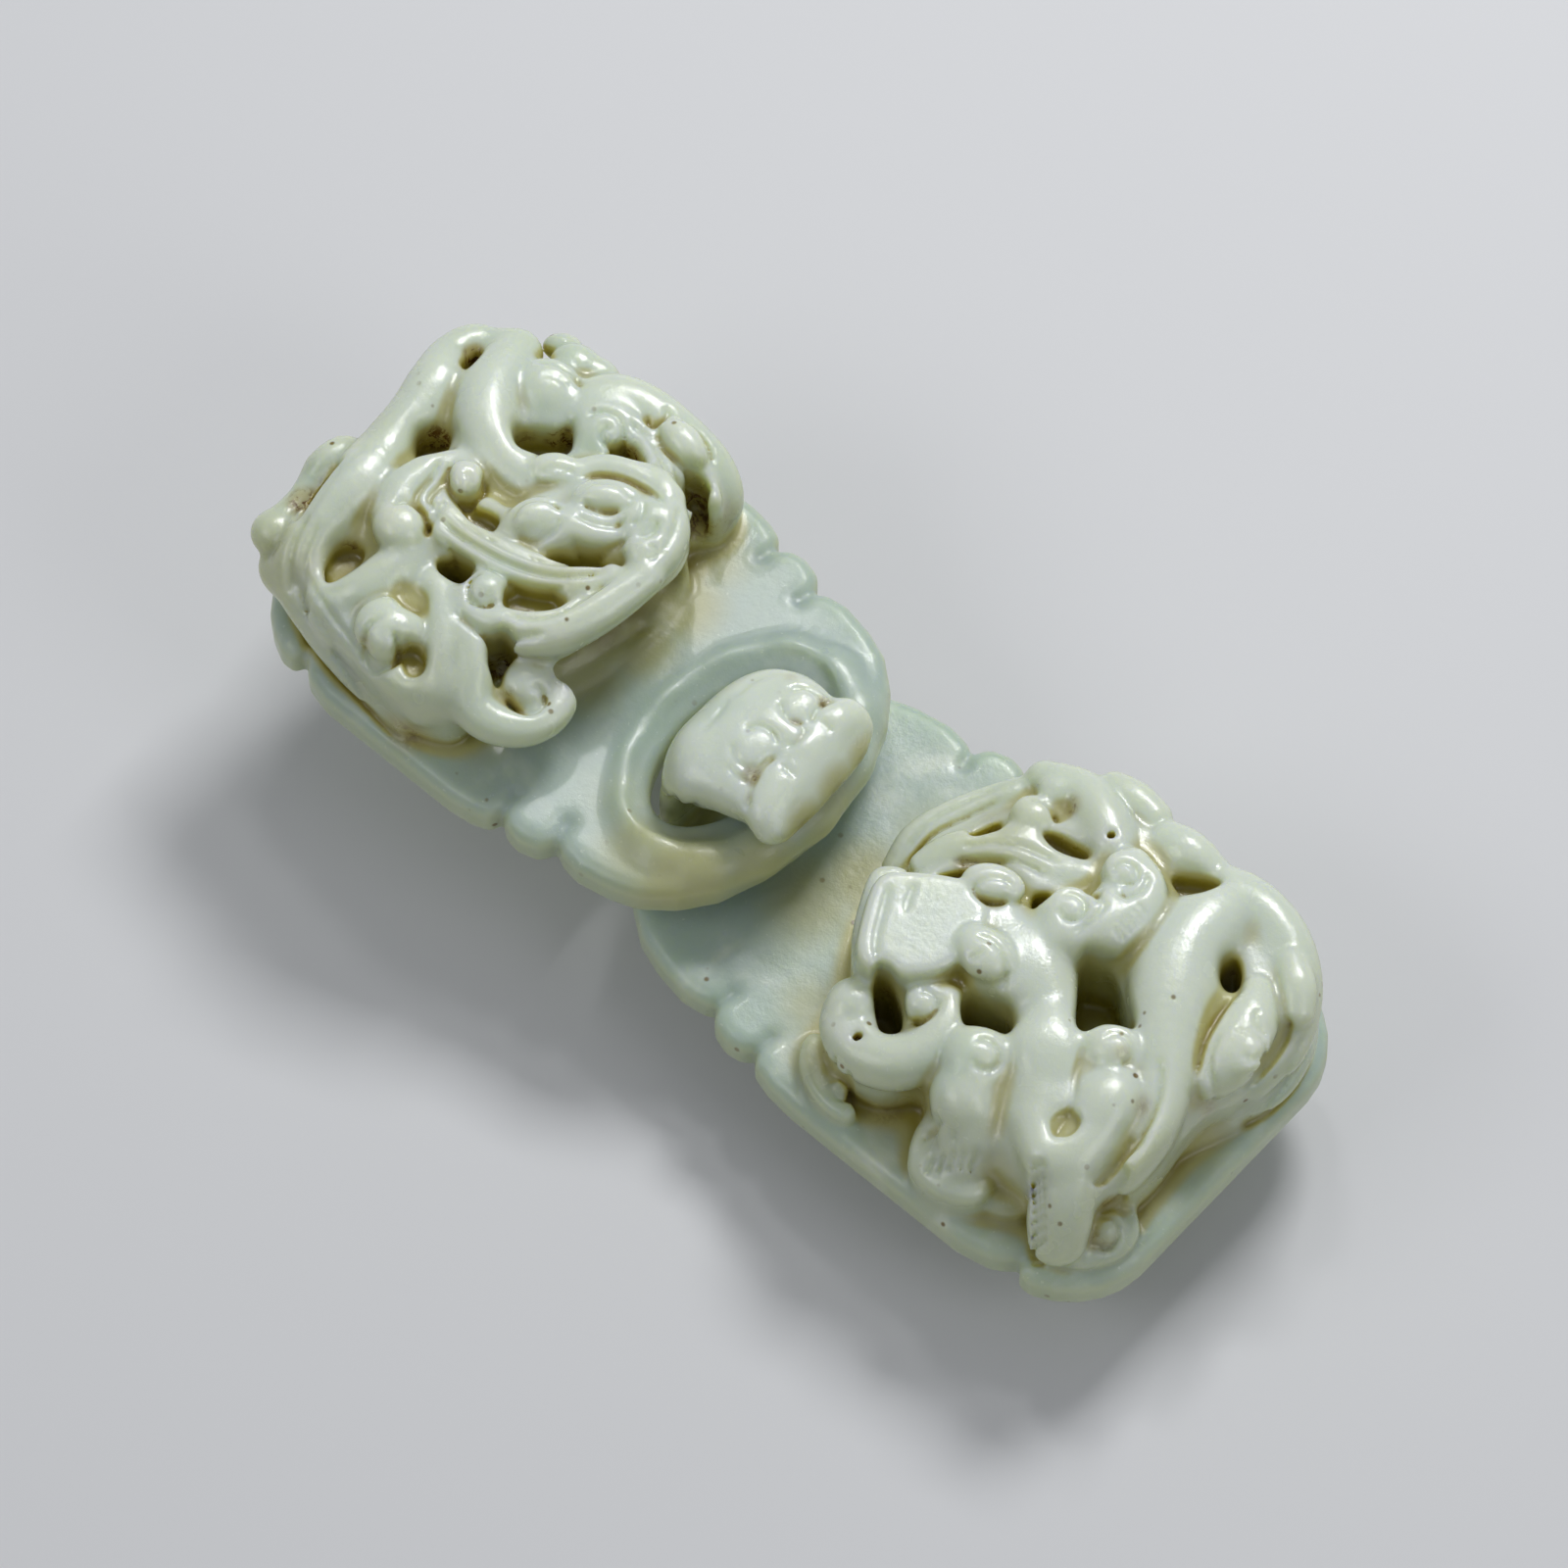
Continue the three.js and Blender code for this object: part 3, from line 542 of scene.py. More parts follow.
LOOP_BLOCK = ([-61.5, -25.5, -1.0], [7.5, 25.5, 41.0])
loop = Stone(*LOOP_BLOCK)
loop_outline = plate_outline(LOOP_PLATE_LENGTH, LOOP_END_LENGTH, LOOP_FAR_X, 1)
slab(loop, loop_outline, LOOP_PLATE_BOTTOM, LOOP_PLATE_TOP, EDGE_ROUNDING)
cusp_creases(loop, LOOP_PLATE_LENGTH, LOOP_END_LENGTH, LOOP_FAR_X, 1, LOOP_PLATE_TOP)
round_button(loop, LOOP_FAR_X + LOOP_STEM_SETBACK, LOOP_PLATE_BOTTOM)

LOOP_MASSES = [
    # The broad forms of the openwork: outline, rise of the top, rounding of the shoulder.
    # The whole group, and the dragon's body over it.
    ([(-62, 18.5), (-58, 20.5), (-54, 23.3), (-47, 24.8), (-40, 25), (-34.5, 22.5), (-31.5, 17), (-31.5, 9),
      (-33, 2), (-35, -4.5), (-35, -9), (-34.5, -14), (-40, -15.8), (-50, -15.2), (-57, -14.2), (-60, -9),
      (-61, 0), (-62.5, 10)], 9.2, 3.4),
    ([(-57.5, 18), (-52, 21.5), (-46, 22.5), (-41, 21.5), (-36, 19), (-31, 14), (-30.5, 7), (-31.5, 1),
      (-34.5, -3.5), (-42, -4.5), (-43, -8.5), (-50, -10), (-53, -6), (-57.5, -3), (-58, 6), (-58.5, 12)],
     10.6, 2.4),
    # The main head, with its crest and muzzle.
    ([(-44.3, 15.4), (-42, 17.2), (-38.9, 18.9), (-35.6, 19.5), (-33, 19.2), (-31, 17.8), (-29.8, 15.5),
      (-29.4, 13.2), (-30.2, 11), (-33, 10.2), (-35.8, 9.3), (-39.2, 6.8), (-42.6, 4.9), (-44.9, 4.7),
      (-46.3, 6.6), (-46.4, 9.2), (-45.6, 11.6), (-44.8, 13.7)], 12.9, 2.2),
    # The broad arch with the spiral.
    ([(-46.4, 17.7), (-49.4, 20), (-50.2, 23), (-48.7, 25.4), (-45.1, 26.5), (-40, 26.2), (-34.5, 25),
      (-31.2, 23.2), (-31.4, 21.4), (-34.6, 20.6), (-36.3, 20.3), (-38.8, 21.7), (-41.4, 22), (-40.9, 20.4),
      (-41.8, 18.8), (-43.9, 17)], 9.9, 2.2),
    # The curled paw, the long leaf and the strand below it.
    ([(-52.5, -5), (-54.8, -4.3), (-56.5, -2.5), (-57.4, 0.4), (-57.2, 3.1), (-55.8, 5.9), (-54.1, 7.8),
      (-52.1, 8.7), (-50.1, 7.6), (-49.3, 5.7), (-50.1, 4), (-50.6, 2.4), (-51.3, 0.8), (-50.9, -0.7),
      (-50.1, -3.1), (-51, -4.6)], 12.0, 1.8),
    ([(-52.6, 2.5), (-50.7, 2.6), (-47.6, 2.5), (-44.3, 3.1), (-41.1, 4.1), (-39.1, 4.8), (-36.3, 6.1),
      (-33.2, 8.4), (-31.8, 8.6), (-33.6, 3.9), (-36.7, 1.3), (-40.2, 0.1), (-43.9, -0.6), (-47.4, -0.8),
      (-51, -0.4), (-52.4, 0.6)], 12.3, 1.0),
    ([(-41.1, -6.2), (-42.8, -4.2), (-42.7, -2.1), (-41, -0.4), (-39.8, -2.6), (-37.1, -2.2), (-35, -0.3),
      (-32.8, 2.3), (-32, 5.3), (-31.1, 8.6), (-30.2, 11.4), (-29.3, 12.6), (-28.8, 9.2), (-29.4, 4.1),
      (-30.4, 0.1), (-31.5, -2), (-35.1, -4.8), (-38.2, -6.3)], 11.8, 1.8),
    # The lower body, with its two ridges.
    ([(-53.7, -15.6), (-53.4, -12.9), (-51, -9.9), (-51.4, -4.9), (-49.5, -2.8), (-46.9, -3.5),
      (-43.8, -4.3), (-40.9, -5.3), (-37.8, -7), (-35.8, -7.5), (-35.4, -11), (-35, -14.3),
      (-37.5, -16), (-41, -17), (-46.6, -16.6)], 8.9, 2.8),
]
LOOP_LIMBS = [
    # Points with their rise and radius, how softly the limb joins, how flat it is.
    # The arch along the upper rim, from its curl down to the plate.
    ([(-48.5, 18.8, 8.0, 2.2), (-48.4, 21, 8.3, 2.8), (-46.6, 23.6, 8.2, 3.0), (-43.2, 24.9, 8.0, 2.8),
      (-38.5, 25.0, 7.4, 2.6), (-34.4, 24.2, 6.2, 2.7), (-31.6, 22.8, 4.6, 2.7), (-30, 21.2, 2.6, 2.5),
      (-29.4, 19.6, 0.6, 2.0)], 1.4, 1),
    ([(-38.8, 22.4, 8.8, 2.0), (-36.2, 22, 8.8, 2.2), (-33.8, 21, 8.0, 2.2), (-33, 19.6, 7.6, 2.0)],
     1.2, 1),
    ([(-34.8, 20.8, 2.6, 2.4), (-32.2, 19.8, 2.0, 2.4), (-30.6, 18, 0.8, 2.2), (-30.2, 16, -0.6, 2.0)],
     1.6, 1),
    # The cheek's lower edge, run together with the leaf.
    ([(-47.4, 4.6, 10.4, 1.7), (-44.6, 4.7, 10.9, 1.9), (-41.8, 5.6, 11.2, 1.8), (-40.2, 7.4, 11.6, 1.6)],
     1.2, 1),
    # The band inside the arch, from the spiral to the crest.
    ([(-44.2, 22.2, 9.3, 1.4), (-41.6, 22.3, 9.6, 1.5), (-39, 21.3, 10.1, 1.4), (-36.6, 20.0, 10.8, 1.4),
      (-34.6, 18.8, 11.4, 1.3)], 0.8, 1),
    # The thick body at the far end, with the long highlight.
    ([(-58.3, 21, 7.4, 2.8), (-57.6, 18, 8.6, 3.4), (-56.5, 14.8, 9.3, 3.7), (-54, 12, 9.6, 3.6),
      (-50, 10.6, 9.6, 3.3), (-46.5, 10.4, 9.6, 3.0)], 1.0, 1),
    # The outer band round the far end, a row of soft swellings, which becomes the tail below.
    ([(-60.5, 20.2, 7.3, 2.0), (-62.6, 19, 7.6, 2.1), (-63.4, 16.2, 8, 2.2), (-62, 12.8, 8.6, 3.1),
      (-61, 8.5, 8.6, 3.0), (-60.4, 3.5, 8.6, 3.0), (-59.6, -1.5, 9.0, 3.5), (-59.2, -6.5, 8.4, 3.1),
      (-58.3, -11, 7.3, 2.9), (-57, -14, 5.6, 2.5), (-53, -16, 3.8, 2.1), (-48, -17.3, 2.4, 1.9),
      (-42.5, -18.4, 1.3, 1.7), (-37.5, -19, 0.9, 1.5)], 1.1, 1),
    # The back of the curled paw.
    ([(-52.4, 8.0, 10.9, 1.2), (-54.6, 6.6, 11.1, 1.5), (-55.9, 3.8, 11.2, 1.7), (-55.9, 0.8, 11.0, 1.9),
      (-54.4, -1.6, 10.6, 2.3)], 1.2, 0.8),
    # The ridge between the two small pits.
    ([(-49.8, -3, 9.6, 2.0), (-50.1, -6.5, 9.6, 2.3), (-50.6, -10.5, 8.6, 2.6), (-52, -13.5, 6.8, 2.8)],
     1.0, 1),
    # The two strands of the long leaf.
    ([(-51.6, 1.9, 11.6, 1.3), (-47, 1.7, 11.7, 1.5), (-42, 2.5, 11.8, 1.5), (-38.2, 4.1, 11.9, 1.3),
      (-35.2, 6.4, 12.2, 1.1), (-33, 8.5, 12.4, 0.7)], 0.5, 0.8),
    ([(-51, 0.3, 11.4, 1.1), (-46, 0.3, 11.5, 1.3), (-41.5, 1.0, 11.6, 1.3), (-37.6, 2.5, 11.7, 1.3),
      (-35.0, 4.7, 12.0, 1.2), (-33, 7.6, 12.4, 0.8)], 0.5, 0.8),
    # The lower strand, from its curl ball round to the snout.
    ([(-42.2, -4.2, 10.4, 1.5), (-39.4, -5.0, 10.4, 1.9), (-35.8, -3.6, 10.7, 2.3), (-32.7, -1.0, 11, 2.4),
      (-31.1, 3, 11.3, 2.3), (-30.3, 7, 11.6, 2.1), (-29.9, 10, 12, 1.8)], 0.8, 1),
    # The two ridges of the lower body, and the limb that ends in the curl loop.
    ([(-45, -5.3, 9.4, 1.8), (-41.9, -7.6, 9.5, 2.0), (-39.3, -10.6, 8.9, 2.2), (-37.3, -14, 7.2, 2.2),
      (-36.4, -15.6, 5.4, 2.0)], 0.9, 1),
    ([(-41.4, -6, 9.6, 1.7), (-39.0, -7.2, 9.5, 2.1), (-36.4, -9.0, 8.7, 2.4), (-34.8, -11.4, 7.6, 2.5),
      (-32.8, -13.0, 6.6, 2.4), (-30, -13.1, 6.0, 2.2), (-27.3, -11.5, 5.6, 2.0), (-26.2, -8.6, 5.6, 1.9),
      (-27.2, -5.7, 5.8, 1.8), (-30, -4.3, 6.4, 1.8)], 0.9, 1),
    # The crest over the brow, and the muzzle, a thick bar across the front.
    ([(-44.3, 14.6, 12.1, 0.9), (-42.6, 17, 12.3, 1.1), (-39.6, 18.6, 12.4, 1.3), (-36, 19.1, 12.4, 1.3)],
     2.2, 1),
    ([(-34.6, 18.2, 11.9, 1.8), (-32.4, 16, 12, 2.1), (-30.9, 13, 12, 2.1), (-30.9, 11, 11.8, 1.8)],
     1.2, 1),
    # The stained bar between the boss and the lower ball at the far edge.
    ([(-63.7, -3, 7.2, 1.9), (-63, -6.5, 6.9, 1.5), (-62.6, -10, 6.6, 1.7)], 0.6, 1),
]
LOOP_KNOBS = [
    # Place and rise, half sizes, turn in degrees, how softly the knob joins.
    # Spiral, oval knob, haunch and its upper lump, small ear on the rim.
    ((-45.4, 20.7, 9.8), (3.3, 3.2, 1.9), 0, 1.2),
    ((-38, 24.5, 10.2), (3.6, 2.1, 2.3), -14, 0.35),
    ((-52.6, 19.6, 8.8), (4.0, 3.8, 3.3), 0, 0.8),
    ((-52.6, 24, 7.6), (2.9, 2.5, 2.4), 10, 0.6),
    ((-49.8, 24.8, 7.2), (2.2, 1.9, 2.1), 0, 0.7),
    ((-55.2, 24.9, 6.4), (2.2, 1.5, 1.7), 30, 0.5),
    # The balls of the curled paw, the boss and the ball at the far edge.
    ((-52.0, 6.2, 12.1), (2.1, 2.1, 1.6), 0, 0.5),
    ((-53.0, -2.5, 11.4), (2.9, 2.7, 2.2), 0, 0.6),
    ((-63.6, -1.2, 7.6), (2.0, 3.4, 2.6), -8, 0.6),
    ((-62.2, -11.6, 6.5), (2.5, 2.5, 2.3), 0, 0.6),
    ((-58.5, -15, 4.6), (2.8, 1.8, 2.0), -20, 0.8),
    # The curl ball, the ball inside the loop, the shoulder and the lobes below.
    ((-41.2, -2.1, 11.7), (2.3, 2.3, 1.5), 0, 0.7),
    ((-30.5, -7.6, 6.4), (3.1, 3.1, 2.7), 0, 0.6),
    ((-45.2, -12.2, 9.4), (3.9, 3.6, 3.0), 0, 0.4),
    ((-36.6, -12.6, 7.4), (2.4, 2.6, 2.4), 0, 1.0),
    ((-40.8, -15.8, 5.6), (2.8, 2.3, 3.0), 0, 0.8),
    ((-37, -16.4, 5.0), (2.2, 1.9, 2.6), 0, 0.7),
    ((-49.5, -15.2, 5.2), (3.6, 2.2, 2.6), -10, 1.0),
    # Ear, the two eye mounds, snout and cheek of the main head.
    ((-45.6, 13.3, 12.0), (2.9, 1.95, 1.7), 35, 0.4),
    ((-39.7, 14.4, 13.3), (3.0, 1.7, 1.5), 38, 1.4),
    ((-43.6, 7.8, 12.8), (2.7, 1.9, 1.7), 60, 0.7),
    ((-34.8, 15.2, 13.2), (2.8, 1.9, 1.4), 40, 1.5),
    ((-32.4, 12.4, 12.7), (2.3, 2.0, 1.6), 0, 0.9),
    ((-39, 10.2, 12.8), (3.6, 1.8, 1.2), 25, 1.4),
]
carve_forms(loop, on_loop, LOOP_PLATE_TOP, LOOP_MASSES, LOOP_LIMBS, LOOP_KNOBS)
fill_grooves(loop, LOOP_PLATE_TOP + GROOVE_FLOOR)

LOOP_PITS = [
    # Outline of the mouth, its rise, rise of the floor, how soft the rim is.
    # Beside the thick body, inside the spiral's arch, and under the arch's end.
    ([(-51.8, 13.7), (-50.8, 15.6), (-48.9, 17), (-47.9, 18.2), (-46, 15.8), (-47.6, 13.4), (-49.6, 12)],
     9.6, 5.2, 1.4),
    ([(-42.7, 18.2), (-42.5, 20.2), (-41.4, 20.7), (-38.9, 19.3), (-40.1, 18.4)], 10.4, 5.6, 0.7),
    ([(-33.6, 20.8), (-32.4, 21.6), (-31, 21), (-30.6, 19.4), (-31.6, 18.2), (-32.8, 18.6)], 6.0, 2.6, 1.6),
    # The slot at the top of the far band, and the stained pit beside the paw.
    ([(-61.8, 18.7), (-60.8, 18.3), (-60.5, 16.2), (-61.6, 16.2)], 9.6, 5.5, 0.7),
    ([(-59.4, 7.2), (-58.2, 8.9), (-56.7, 9.1), (-55.6, 7.1), (-56.6, 5.5), (-58.2, 5.5)], 9.6, 5.2, 1.6),
    # Between paw and ear, the hole through under the leaf, and the shallow one under that.
    ([(-49.9, 4.0), (-48.4, 5), (-46.2, 5.2), (-45.7, 3.9), (-47.9, 3.1)], 12.0, 9.8, 1.0),
    ([(-47.5, -2.8), (-46.4, -1.4), (-44, -1.3), (-43.8, -3), (-45.8, -3.7)], 10.6, -6.0, 0.7),
    ([(-48, -7.9), (-47.1, -6.9), (-45.4, -7), (-44.8, -8.4), (-46.1, -9.2)], 10.6, 10.0, 1.6),
    # At the left of the ridge, under the head (through), between leaf and lower strand.
    ([(-56, -10.7), (-56.6, -8.5), (-55.6, -6.8), (-54.2, -6.7), (-53.3, -8.6), (-53.5, -11), (-54.4, -12)],
     9.2, 6.4, 1.6),
    ([(-39.4, 5.2), (-38.6, 6.9), (-35.9, 8.8), (-34.2, 8.7), (-35.9, 7), (-38, 5.5)], 12.4, -6.0, 0.6),
    ([(-39.7, -0.5), (-38.3, 1), (-35.3, 2.5), (-34.2, 1.2), (-36.5, -1.2), (-38.6, -1.7)], 11.8, 9.5, 1.0),
    # Beside the ball in the loop, and the small one below the shoulder.
    ([(-35.7, -7.2), (-35.3, -6.0), (-34.3, -5.8), (-33.6, -6.7), (-33.2, -8.2), (-32.8, -9.4),
      (-34.0, -9.3), (-35.0, -8.4)], 7.6, 4.6, 1.0),
    ([(-42.3, -13.5), (-41.8, -12.3), (-40.2, -12.4), (-39.2, -13.8), (-40.4, -14.8)], 8.4, 7.9, 1.1),
]
carve_pits(loop, on_loop, LOOP_PLATE_TOP, LOOP_PITS)

# The long groove that sets the tail off from the lower body.
TAIL_GROOVE = [(-56.5, -11.8, 6.6), (-53, -14.2, 5.4), (-48.5, -16.0, 4.2), (-43.5, -17.0, 3.2)]
TAIL_GROOVE_RADIUS = 0.7
TAIL_GROOVE_BLEND = 1.0
limb(loop, [(*on_loop(*place), TAIL_GROOVE_RADIUS) for place in TAIL_GROOVE], TAIL_GROOVE_BLEND,
     cutting=True)
# The stone is undercut below the snout and the lower strand, which hang over the plate.
UNDERCUT_ROUTE = [(-30.2, 14.2, 3.6), (-29.2, 9.2, 4.2), (-29.6, 4.1, 4.3), (-30.6, 0.1, 4.0),
                  (-32.2, -2.4, 3.0)]
SNOUT_RISE = 11.8
UNDERCUT_RISE = 0.3
UNDERCUT_BLEND = 1.2
undercut = [(*on_loop(x, y, SNOUT_RISE)[:2], LOOP_PLATE_TOP + UNDERCUT_RISE + r, r)
            for x, y, r in UNDERCUT_ROUTE]
limb(loop, undercut, UNDERCUT_BLEND, cutting=True)

LOOP_LINES = [
    # Points, their rise, width, depth.
    # The leaf's two long lines and its middle groove.
    ([(-51.5, 2.6), (-47, 2.3), (-42, 3.1), (-38.3, 4.6), (-35.4, 7), (-33.4, 8.6)], 12.5, 0.3, 0.4),
    ([(-51.5, 1.1), (-47, 0.9), (-42, 1.7), (-38, 3.2), (-35, 5.6), (-33, 8.4)], 12.5, 0.34, 0.6),
    ([(-50, -0.3), (-46, -0.3), (-41, 0.4), (-37.4, 1.9), (-34.8, 4.2)], 12.3, 0.3, 0.35),
    # The paw: two long strokes and the ball's curl.
    ([(-55.8, 6.6), (-55.0, 4.4), (-54.6, 1.6), (-52.8, 0.4)], 12.6, 0.34, 0.5),
    ([(-54.6, 7.2), (-53.8, 4.8), (-53.4, 2.4), (-51.6, 1.6)], 12.8, 0.34, 0.5),
    ([(-51.4, 8.4), (-50.2, 7.2), (-50.2, 5.4), (-51.6, 4.4), (-53.2, 5), (-53.7, 6.6)], 12.9, 0.34, 0.6),
    ([(-52.6, 6.6), (-51.9, 7), (-51.2, 6.4), (-51.5, 5.7)], 13.6, 0.28, 0.4),
    ([(-55.4, -1.4), (-54.8, 0.2), (-52.8, 0.6), (-50.8, -0.4)], 12.6, 0.34, 0.5),
    ([(-51.6, 3.4), (-51.2, 1), (-50.6, -1.6)], 12.2, 0.34, 0.5),
    # The curl ball and the long line of the lower strand.
    ([(-43.1, -0.6), (-43.2, -2.4), (-41.9, -3.8), (-40.2, -3.4), (-39.6, -2)], 12.6, 0.34, 0.6),
    ([(-42, -2), (-41.4, -2.7), (-40.7, -2.1), (-41, -1.4)], 13.2, 0.28, 0.4),
    ([(-38.4, -2.9), (-35.2, -1.7), (-33.5, 0.8), (-32.8, 4), (-32.2, 8)], 12.6, 0.34, 0.5),
    ([(-41.8, -6.3), (-38.4, -6.4), (-35.2, -5), (-32, -2.4)], 10.8, 0.4, 0.6),
    # The spiral, its outer line along the arch, and the arch's own lines.
    ([(-44.5, 21.0), (-45.3, 21.0), (-45.5, 20.2), (-44.7, 19.6), (-43.6, 19.9), (-43.3, 21.1),
      (-44.3, 22.2), (-45.9, 22.5), (-47.4, 21.5), (-47.5, 19.6)], 11.6, 0.32, 0.6),
    ([(-44.3, 22.9), (-41.5, 22.9), (-38.4, 21.6), (-36.2, 20.4)], 11.2, 0.36, 0.6),
    ([(-43.4, 24.6), (-41.8, 24.0), (-41.4, 25.8), (-42.4, 27)], 10.4, 0.36, 0.5),
    # The head: crest line, eye rims, cheek commas, nostril and muzzle line.
    ([(-43.6, 14.8), (-42, 16.6), (-39.4, 17.8), (-36.4, 18.2), (-34, 17.8)], 14, 0.32, 0.45),
    ([(-42.2, 12.9), (-41.6, 15.1), (-39.2, 16.4), (-37.2, 16.3)], 14.4, 0.32, 0.35),
    ([(-41.4, 12.4), (-39.4, 12.9), (-37.7, 14.3), (-36.9, 15.9)], 14.2, 0.32, 0.35),
    ([(-45.2, 5.6), (-45.5, 8.2), (-43.8, 10.2), (-41.8, 10.4)], 14, 0.32, 0.5),
    ([(-44.2, 5.4), (-42.2, 6), (-41.2, 8), (-41.4, 9.8)], 14, 0.32, 0.45),
    ([(-40.8, 11), (-38.6, 11.4), (-36.8, 12.8), (-36.4, 14.4)], 14.2, 0.3, 0.4),
    ([(-39.6, 8.6), (-37.2, 9.4), (-35.6, 11), (-34.6, 12.8)], 14, 0.3, 0.4),
    ([(-36.4, 16.8), (-35.4, 15.4), (-35.6, 13.8)], 14.5, 0.34, 0.5),
    ([(-33.8, 16.2), (-33.2, 14.6), (-34, 13)], 14.5, 0.34, 0.5),
    ([(-32.6, 13.2), (-31.8, 13.4), (-31.3, 12.6), (-32, 12)], 14.4, 0.3, 0.45),
    ([(-33, 18.4), (-31.2, 15.6), (-30.3, 12.2)], 13, 0.34, 0.4),
    ([(-47.3, 12.2), (-45.9, 13.7), (-44.1, 14.8)], 13.6, 0.28, 0.35),
    # Shoulder spiral, the ball in the loop, and the haunch.
    ([(-47, -11), (-47.6, -13.6), (-45.6, -15), (-43.8, -13.8), (-44.4, -12.2), (-45.5, -12.6)],
     12, 0.36, 0.7),
    ([(-31.8, -9.2), (-30.2, -9.9), (-28.4, -9.3), (-28, -7.6), (-29.2, -6.8), (-30.2, -7.6)],
     8.4, 0.34, 0.6),
    ([(-56.1, 21.4), (-54.1, 22.6), (-51.9, 22.9), (-50, 22.4)], 10.6, 0.36, 0.45),
    ([(-54.6, 20.8), (-53, 21.8), (-51.2, 21.6)], 11.6, 0.32, 0.25),
    ([(-41.4, 24.6), (-39.6, 26.4), (-37, 26.8), (-34.6, 25.4)], 10.6, 0.34, 0.45),
    ([(-41.2, 23.8), (-39, 22.7), (-36.4, 22.6), (-34.4, 23.6)], 10.8, 0.34, 0.5),
    # The striations round the far end and along the tail.
    ([(-56.8, -14.6), (-52.5, -16.8), (-47, -18), (-41, -19), (-37, -19.4)], 4, 0.34, 0.4),
    ([(-55, -14.2), (-51, -16), (-46, -17.1), (-41, -18.1)], 4.5, 0.34, 0.35),
    ([(-60, -8.5), (-58.8, -12.5), (-56.4, -15.4)], 8, 0.36, 0.45),
    ([(-58.6, -8.2), (-57.4, -12), (-55.2, -14.6)], 8.5, 0.36, 0.4),
    ([(-62.2, -1), (-61.8, -5.5), (-61, -10)], 8.5, 0.45, 0.7),
    ([(-61.6, 2), (-61.4, -4), (-60.4, -10)], 10, 0.36, 0.3),
]
carve_lines(loop, on_loop, LOOP_PLATE_TOP, LOOP_LINES)

# The oval opening: a raised ridge round it, a shallow dish inside the ridge, and the hole itself.
OPENING_X = -7.445
OPENING_LENGTH = 11.2
OPENING_WIDTH = 20.8
OPENING_POINTS = 64
OPENING_EDGE = 0.3
OPENING_RIM = 1.2
OPENING_OVERRUN = 4.0
BAR_OUTER_X = 5.155
RIDGE_RADIUS = 1.9
RIDGE_RISE = 0.9
RIDGE_INSET = 1.6
RIDGE_LENGTH = OPENING_LENGTH + 10.0
RIDGE_HALF_WIDTH = 13.4
RIDGE_BLEND = 2.2
RIDGE_PARTS = 12
PART_POINTS = 8
DISH_RISE = 1.2
DISH_RADII = (8.8, 13.0, 2.9)
DISH_BLEND = 1.0
ridge_half = RIDGE_LENGTH / 2 - RIDGE_RADIUS
ridge_x = BAR_OUTER_X - RIDGE_INSET - ridge_half
ridge_z = LOOP_PLATE_TOP + RIDGE_RISE - RIDGE_RADIUS
ridge = [(ridge_x + ridge_half * math.cos(a), RIDGE_HALF_WIDTH * math.sin(a), ridge_z, RIDGE_RADIUS)
         for a in np.linspace(0, 2 * math.pi, RIDGE_PARTS * PART_POINTS + 1)]
for start in range(0, RIDGE_PARTS * PART_POINTS, PART_POINTS):
    limb(loop, ridge[start:start + PART_POINTS + 1], RIDGE_BLEND)
knob(loop, (OPENING_X, 0, LOOP_PLATE_TOP + DISH_RISE), DISH_RADII, blend=DISH_BLEND, cutting=True)
hole = oval(OPENING_X, OPENING_LENGTH / 2, OPENING_WIDTH / 2, OPENING_POINTS)
slab(loop, hole, LOOP_PLATE_BOTTOM - OPENING_OVERRUN, LOOP_PLATE_TOP + OPENING_OVERRUN, OPENING_EDGE,
     OPENING_RIM, cutting=True)

LOOP_STAINS = [
    # Place, radius in mm, strength of the brown stain.
    ((-47.6, 16.8, 7.5), 2.0, 1.0), ((-50.6, 14, 8), 1.6, 0.5), ((-57.2, 7.6, 7.5), 2.2, 1.0),
    ((-40.4, 19.6, 8.4), 1.7, 1.0), ((-31, 20.2, 3.5), 3.0, 1.0), ((-61.3, 17.4, 8), 1.7, 1.0),
    ((-34, -7.6, 4.5), 2.2, 0.9), ((-37.8, 0.8, 8.2), 1.8, 0.7), ((-62.3, -7, 8), 1.8, 0.8),
    ((-55.2, -7.6, 7), 1.9, 0.7), ((-30.5, -9.4, 7), 1.5, 0.6), ((-46.5, -1.8, 8.6), 1.5, 0.6),
    ((-41, -12.6, 6.6), 1.4, 0.3), ((-36, -19, 1), 2.6, 0.5), ((-46, -14.6, 10), 1.3, 0.4),
    ((-53, -16.8, 3), 1.8, 0.4),
]
